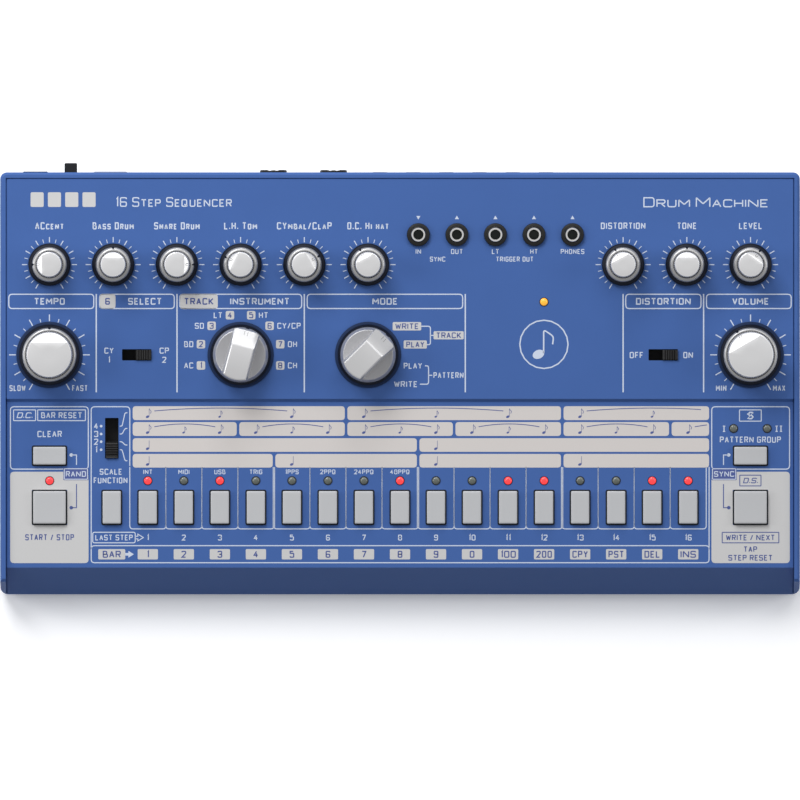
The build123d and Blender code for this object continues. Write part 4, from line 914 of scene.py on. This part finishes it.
# ------------------------ selector knobs
# Rotary selectors: a silver disc with a raised bar across it. The bar's pointer end is cut off on
# the slant, its tail runs to the disc's edge, and the flat ears on both sides lie lower.
selector_size = dict(skirt=11.6, shoulder=10.55)
ear_radius = 9.45
ear_height = 5.2
bar_height = 14.6
bar_top_half, bar_foot_half = 4.4, 5.25
bar_end = 3.35
bar_end_slope = tan(radians(38))
bar_tail = 9.75


def disc_rows():
    """The disc: its edge climbs from the skirt to the flat ears, with a narrow raised lip round them."""
    edge = selector_size["shoulder"]
    profile = [
        (edge - 0.1, skirt_height - 0.5), (edge, skirt_height - 0.3), (edge, skirt_height + 0.2),
        (edge - 0.15, skirt_height + 0.5), (ear_radius + 0.35, ear_height - 0.5),
        (ear_radius + 0.08, ear_height), (ear_radius - 0.12, ear_height + 0.06),
        (ear_radius - 0.25, ear_height), (0.5, ear_height),
    ]
    return turned_rows(profile, circle(120))


def bar_rows():
    """The bar as level outlines, each of two straight sides, a round tail and a pointer end where the
    slanted face stands at that level, no further out than the disc's edge."""
    across = np.linspace(-1, 1, 17)
    rows = []
    straight = bar_height - 0.3 - ear_height
    levels = [(ear_height - 0.1, 0.0)]
    levels += [(ear_height + share * straight, 0.0) for share in (0.0, 0.1, 0.25, 0.5, 0.75, 1.0)]
    levels += [(bar_height - 0.22, 0.08), (bar_height, 0.42)]
    for level, inset in levels:
        share = (level - ear_height) / (bar_height - ear_height)
        half = bar_foot_half + (bar_top_half - bar_foot_half) * max(share, 0) - inset
        x = across * half
        tail = bar_tail + 0.35 * (1 - share) - inset
        slant = bar_end + (bar_height - level) / bar_end_slope - inset
        front = np.minimum(slant, np.sqrt((ear_radius + 0.75 - inset) ** 2 - x ** 2))
        back = -np.sqrt(tail ** 2 - x ** 2)
        rows.append(np.concatenate((np.stack((x, back, np.full(17, level)), axis=-1),
                                    np.stack((x[::-1], front[::-1], np.full(17, level)), axis=-1))))
    return np.stack(rows)


def selector_notch_rows():
    """The black notch at the disc's edge under the pointer end."""
    reach = np.array([9.45, 10.0, 10.4, 10.62])
    half = np.array([0.55, 0.65, 0.7, 0.7])
    return bar_of(half, reach, np.array([3.6, 3.2, 2.6, 2.3]), np.array([5.95, 5.3, 4.6, 3.9]))


def selector_lines():
    """Two short grooves up the slanted face behind the notch."""
    lines = [np.array([(side, 9.2), (side, 7.6)]) for side in (-0.62, 0.62)]
    return [face_line(line, 0.07, 0.015, bar_height, bar_end, bar_end_slope)[::-1] for line in lines]


for name, joint in (("instrument_selector", "instrument_select"), ("mode_selector", "mode_select")):
    dark = [skirt_rows(selector_size), shaft_rows(), selector_notch_rows()]
    fit_control(name, joint, satin, [bar_rows()], ear_painted_shade, [disc_rows()], dark, selector_lines())
    fit_flange(name, joint, selector_size)

# ------------------------ push buttons
# Grey moulded caps with rounded edges and a slightly hollowed top. Each slides in its slot and
# stands on the plunger of the switch under it.
button_edge = 0.55
button_proud = 2.0
button_depth = 1.6
button_corner = 0.5
flange_level = -4.0


def down_of(node, level):
    """How far down the panel a node's middle lies, if its outline is widest at a level over the face."""
    middle = sum(corner.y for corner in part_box(node)) / 2 / mm
    return (rear_edge[1] + level * outward[1] - middle) / up_slope[1]


def button_rows(middle, wide, long):
    """A rounded box as rings: the corner radius and the inset follow a quarter round up to the top."""
    foot = button_proud - button_edge
    levels = [(0.0, -button_depth), (0.0, foot)]
    for step in np.linspace(0, pi / 2, 5)[1:]:
        levels.append((button_edge * (1 - cos(step)), foot + button_edge * 0.8 * sin(step)))
    levels.append((button_edge + 0.9, button_proud - 0.2 * button_edge - 0.03))
    rows = []
    for inset, level in levels:
        half_x, half_y = wide / 2 - inset, long / 2 - inset
        ring = box_line(-half_x, half_x, -half_y, half_y, max(button_corner - 0.6 * inset, 0.3))[:-1]
        rows.append(on_panel(middle + ring, level, lower_drop))
    return np.stack(rows)


cap_grey = Finish("grey cap plastic", (0.525, 0.535, 0.555)).grained(0.4, 0.02, (0.33, 0.1), 0.004)
button_plans = {f"step_button_{i + 1}": (6.95, 12.45) for i in range(16)} | {
    "function_button": (6.95, 12.45), "start_button": (12.45, 12.45), "tap_button": (12.45, 12.45),
    "clear_button": (12.45, 6.8), "group_button": (12.45, 6.8),
}
# A thin black frame just outside each button's slot stands for the shadow in the gap round the cap: painted
# shadow.
slot_shadow_gap, slot_shadow_width = 0.33, 0.42
painted_slot_shadows = []
for name, (wide, long) in button_plans.items():
    middle = np.array((across_of(name), -down_of(name, flange_level)))
    made = piece(name + "_cap", [skin(button_rows(middle, wide, long))], cap_grey, name)
    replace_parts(made, name)
    half_x, half_y = wide / 2 + slot_shadow_gap, long / 2 + slot_shadow_gap
    sides = (middle[0] - half_x, middle[0] + half_x, -middle[1] - half_y, -middle[1] + half_y)
    painted_slot_shadows += frame_box(*sides, 0.6, slot_shadow_width, 3, lower_drop)

# ------------------------ lamps
# Domed lamps of clear or tinted resin that stand a little proud of their holes. Seven steps and the
# start lamp glow red, the one over the panel's middle glows amber.
lamp_radius = 1.5
lamp_proud = 0.7
lamp_depth = 3.0


def lamp_rows(x, down, drop):
    """A cylinder that ends in a low dome: the radius and height follow a quarter ellipse."""
    arc = np.linspace(0, pi / 2, 7)[1:-1]
    dome = [(lamp_radius * cos(step), -0.1 + (lamp_proud + 0.1) * sin(step)) for step in arc]
    profile = [(lamp_radius, -lamp_depth), (lamp_radius, -0.1), *dome, (0.12, lamp_proud)]
    return upright((x, -down), turned_rows(profile, circle(32)), drop)


def lamp_finish(name, color, glow=None):
    """Slightly clouded resin under a smooth coat, which glows by itself when lit."""
    resin = Finish(name, color, Roughness=0.25, Coat_Weight=0.3).grained(0.9, 0.12)
    if glow:
        resin.shader.inputs["Emission Color"].default_value = (*glow, 1)
        resin.shader.inputs["Emission Strength"].default_value = 1.0
    return resin


spacer_level = -8.2
lamp_down = down_of("lit_lamps", spacer_level)
lit_steps = (1, 3, 8, 11, 12, 15, 16)
group_lamp_down = 97.7
lit_places = [(step_x[step - 1], lamp_down) for step in lit_steps] + [(-square_x, lamp_down)]
dark_places = [(x, lamp_down) for i, x in enumerate(step_x) if i + 1 not in lit_steps]
dark_places += [(square_x - 6.4, group_lamp_down), (square_x + 6.4, group_lamp_down)]
status_spacer_level = -7.7
status_place = (across_of("status_lamp"), down_of("status_lamp", status_spacer_level))
red = ("red lamp, lit", (0.6, 0.03, 0.04), (0.85, 0.035, 0.035))
clear = ("clear lamp", (0.115, 0.13, 0.115))
amber = ("amber lamp, lit", (0.8, 0.35, 0.03), (0.5, 0.24, 0.02))
# Each lamp also gets a thin black ring round its hole, standing for the shadow in the gap there: painted
# shadow.
for name, places, drop, slot, look in (
    ("lit_lamps", lit_places, lower_drop, "lamp_red_lit", red),
    ("unlit_lamps", dark_places, lower_drop, "lamp_clear", clear),
    ("status_lamp", [status_place], 0.0, "lamp_amber_lit", amber),
):
    for x, down in places:
        painted_slot_shadows += hoop(x, down, lamp_radius + 0.1, 0.26, 3, drop)
    domes = [skin(lamp_rows(x, down, drop)) for x, down in places]
    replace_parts(piece(name + "_resin", domes, lamp_finish(*look), "case"), name)

# Near-black for the frames and rings round the buttons and lamps, which are painted shadow for the gaps round
# them.
slot_shadow_ink = Finish("dark surround", (0.012, 0.014, 0.02), Specular_IOR_Level=0.2)
slot_shadow_ink.grained(0.3, 0, (0.5, 0.2))
piece("button_and_lamp_surrounds", painted_slot_shadows, slot_shadow_ink, "case")

# ------------------------ jacks on the panel
# 3.5 mm jacks: a black body under the panel, a bright threaded bush with a black lining, and a
# black round nut with a fine toothed edge that clamps the bush to the panel.
nut_radius = 4.45
nut_height = 1.5
bush_radius = 2.66
bush_proud = 1.9
bore_radius = 1.8
jack_down = down_of("jack_nuts", nut_height / 2)


def ring_rows(profile, around):
    """A closed ring: the last ring of points meets the first one."""
    rows = turned_rows(profile, around)
    return np.concatenate((rows, rows[:1]))


nut_teeth = 72
nut_around = circle(nut_teeth * 4)
nut_tooth = 0.1 * np.abs(np.sin(nut_around * nut_teeth / 2))
nut_profile = [
    (bush_radius + 0.06, 0.02), (nut_radius - nut_tooth, 0.02), (nut_radius - nut_tooth, nut_height - 0.5),
    (nut_radius - 0.25, nut_height - 0.2), (nut_radius - 0.75, nut_height - 0.05),
    (bush_radius + 0.6, nut_height), (bush_radius + 0.3, nut_height - 0.25),
    (bush_radius + 0.06, nut_height - 0.3),
]
bright_around = circle(64)
bright_profile = [
    (bore_radius + 0.14, 0.4), (bush_radius, 0.4), (bush_radius, bush_proud - 0.1),
    (bush_radius - 0.08, bush_proud), (bore_radius + 0.24, bush_proud), (bore_radius + 0.14, bush_proud - 0.1),
]
lining_profile = [
    (bore_radius, -9.0), (bore_radius + 0.12, -9.0), (bore_radius + 0.12, bush_proud - 0.3),
    (bore_radius + 0.06, bush_proud - 0.34), (bore_radius, bush_proud - 0.5),
]
nut_black = Finish("blackened nut", (0.006, 0.006, 0.006), Specular_IOR_Level=0.3)
nut_black.grained(0.4, 0, (0.36, 0.14))
bright = Finish("bright nickel", (0.86, 0.85, 0.83), Metallic=1.0).grained(0.3, 0, (0.18, 0.1))
black_plastic = Finish("black plastic", (0.012, 0.012, 0.013), Specular_IOR_Level=0.25)
black_plastic.grained(0.3, 0, (0.42, 0.16), 0.006)
for name, profile, around, finish, slot, node in (
    ("jack_nuts_toothed", nut_profile, nut_around, nut_black, "nut_black", "jack_nuts"),
    ("jack_bushes", bright_profile, bright_around, bright, "jack_metal", None),
    ("jack_linings", lining_profile, bright_around, black_plastic, "black_plastic", "panel_jacks"),
):
    rows = ring_rows(profile, around)
    placed = [skin(upright((x, -jack_down), rows), False, False) for x in jack_x]
    made = piece(name, placed, finish, "case")
    if node:
        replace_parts(made, node)

# ------------------------ switches, sockets, fasteners
# Bought-in parts: slide switches and the power switch are black moulded plastic, the USB shell and
# the pots are pressed steel, and the sockets are black with tinned contacts.
black_plastic.dress("slide_switch_bodies", "power_lever", "power_switch_body", "push_switches")
black_plastic.dress("power_inlet", "din_sockets", "rear_jacks")
ridge_pitch = 0.85
for way, levers in (("X", ("select_lever", "distortion_lever")), ("Y", ("scale_lever",))):
    grip = Finish("black plastic with ridges along " + way, (0.014, 0.014, 0.015), Specular_IOR_Level=0.25)
    grip.ridged(way, pi / 10 / (ridge_pitch * mm), 0.8, 0.2)
    grip.feed("Roughness", 0.42 + 0.16 * grip.noise(0.3))
    grip.dress(*levers)
steel = Finish("tinned steel", (0.62, 0.62, 0.60), Metallic=1.0).grained(0.6, 0, (0.25, 0.15))
steel.dress("pot_bodies", "usb_socket", "rotary_switch_bodies")
din_x = (-48.4, -25.4)
din_level = -27.1
din_tip = 1.1
contact_circle = 3.6
contact_profile = [(0.45, -0.35), (0.78, -0.35), (0.78, 0.03), (0.45, 0.03)]


def behind(x, level, rows):
    """Points about an axis that stands square to the rear wall, as high over its face as a core's tip."""
    across = (x - rows[..., :1]) * (1, 0, 0) + (level + rows[..., 1:2]) * outward
    return rear_edge + across + (din_tip + rows[..., 2:]) * up_slope


contact_angles = [radians(angle) for angle in (-90, -45, 0, 45, 90)]
contact_places = [(x + contact_circle * sin(angle), din_level - contact_circle * cos(angle)) for x in din_x
                  for angle in contact_angles]
contact_rows = ring_rows(contact_profile, circle(24))
contacts = [skin(behind(x, level, contact_rows), False, False) for x, level in contact_places]
piece("din_contacts", contacts, steel, "case")
screw_black = Finish("blackened screw steel", (0.05, 0.05, 0.052), Metallic=0.8)
screw_black.grained(0.4, 0, (0.35, 0.15)).dress("screws")
rubber = Finish("foot rubber", (0.022, 0.022, 0.023)).grained(0.5, 0, (0.78, 0.14), 0.03)
rubber.dress("rubber_feet")
board_green = Finish("solder mask", (0.015, 0.13, 0.05), Roughness=0.3, Coat_Weight=0.3).grained(3.0, 0.12)
board_green.dress("panel_board", "button_board", "io_board")
wire_pitch = 1.27
ribbon_grey = Finish("ribbon cable", (0.42, 0.42, 0.43), Roughness=0.5)
ribbon_grey.ridged("X", 1 / (wire_pitch * mm) / 3.14, 0.1, 0.3)
ribbon_grey.dress("ribbon_cables")
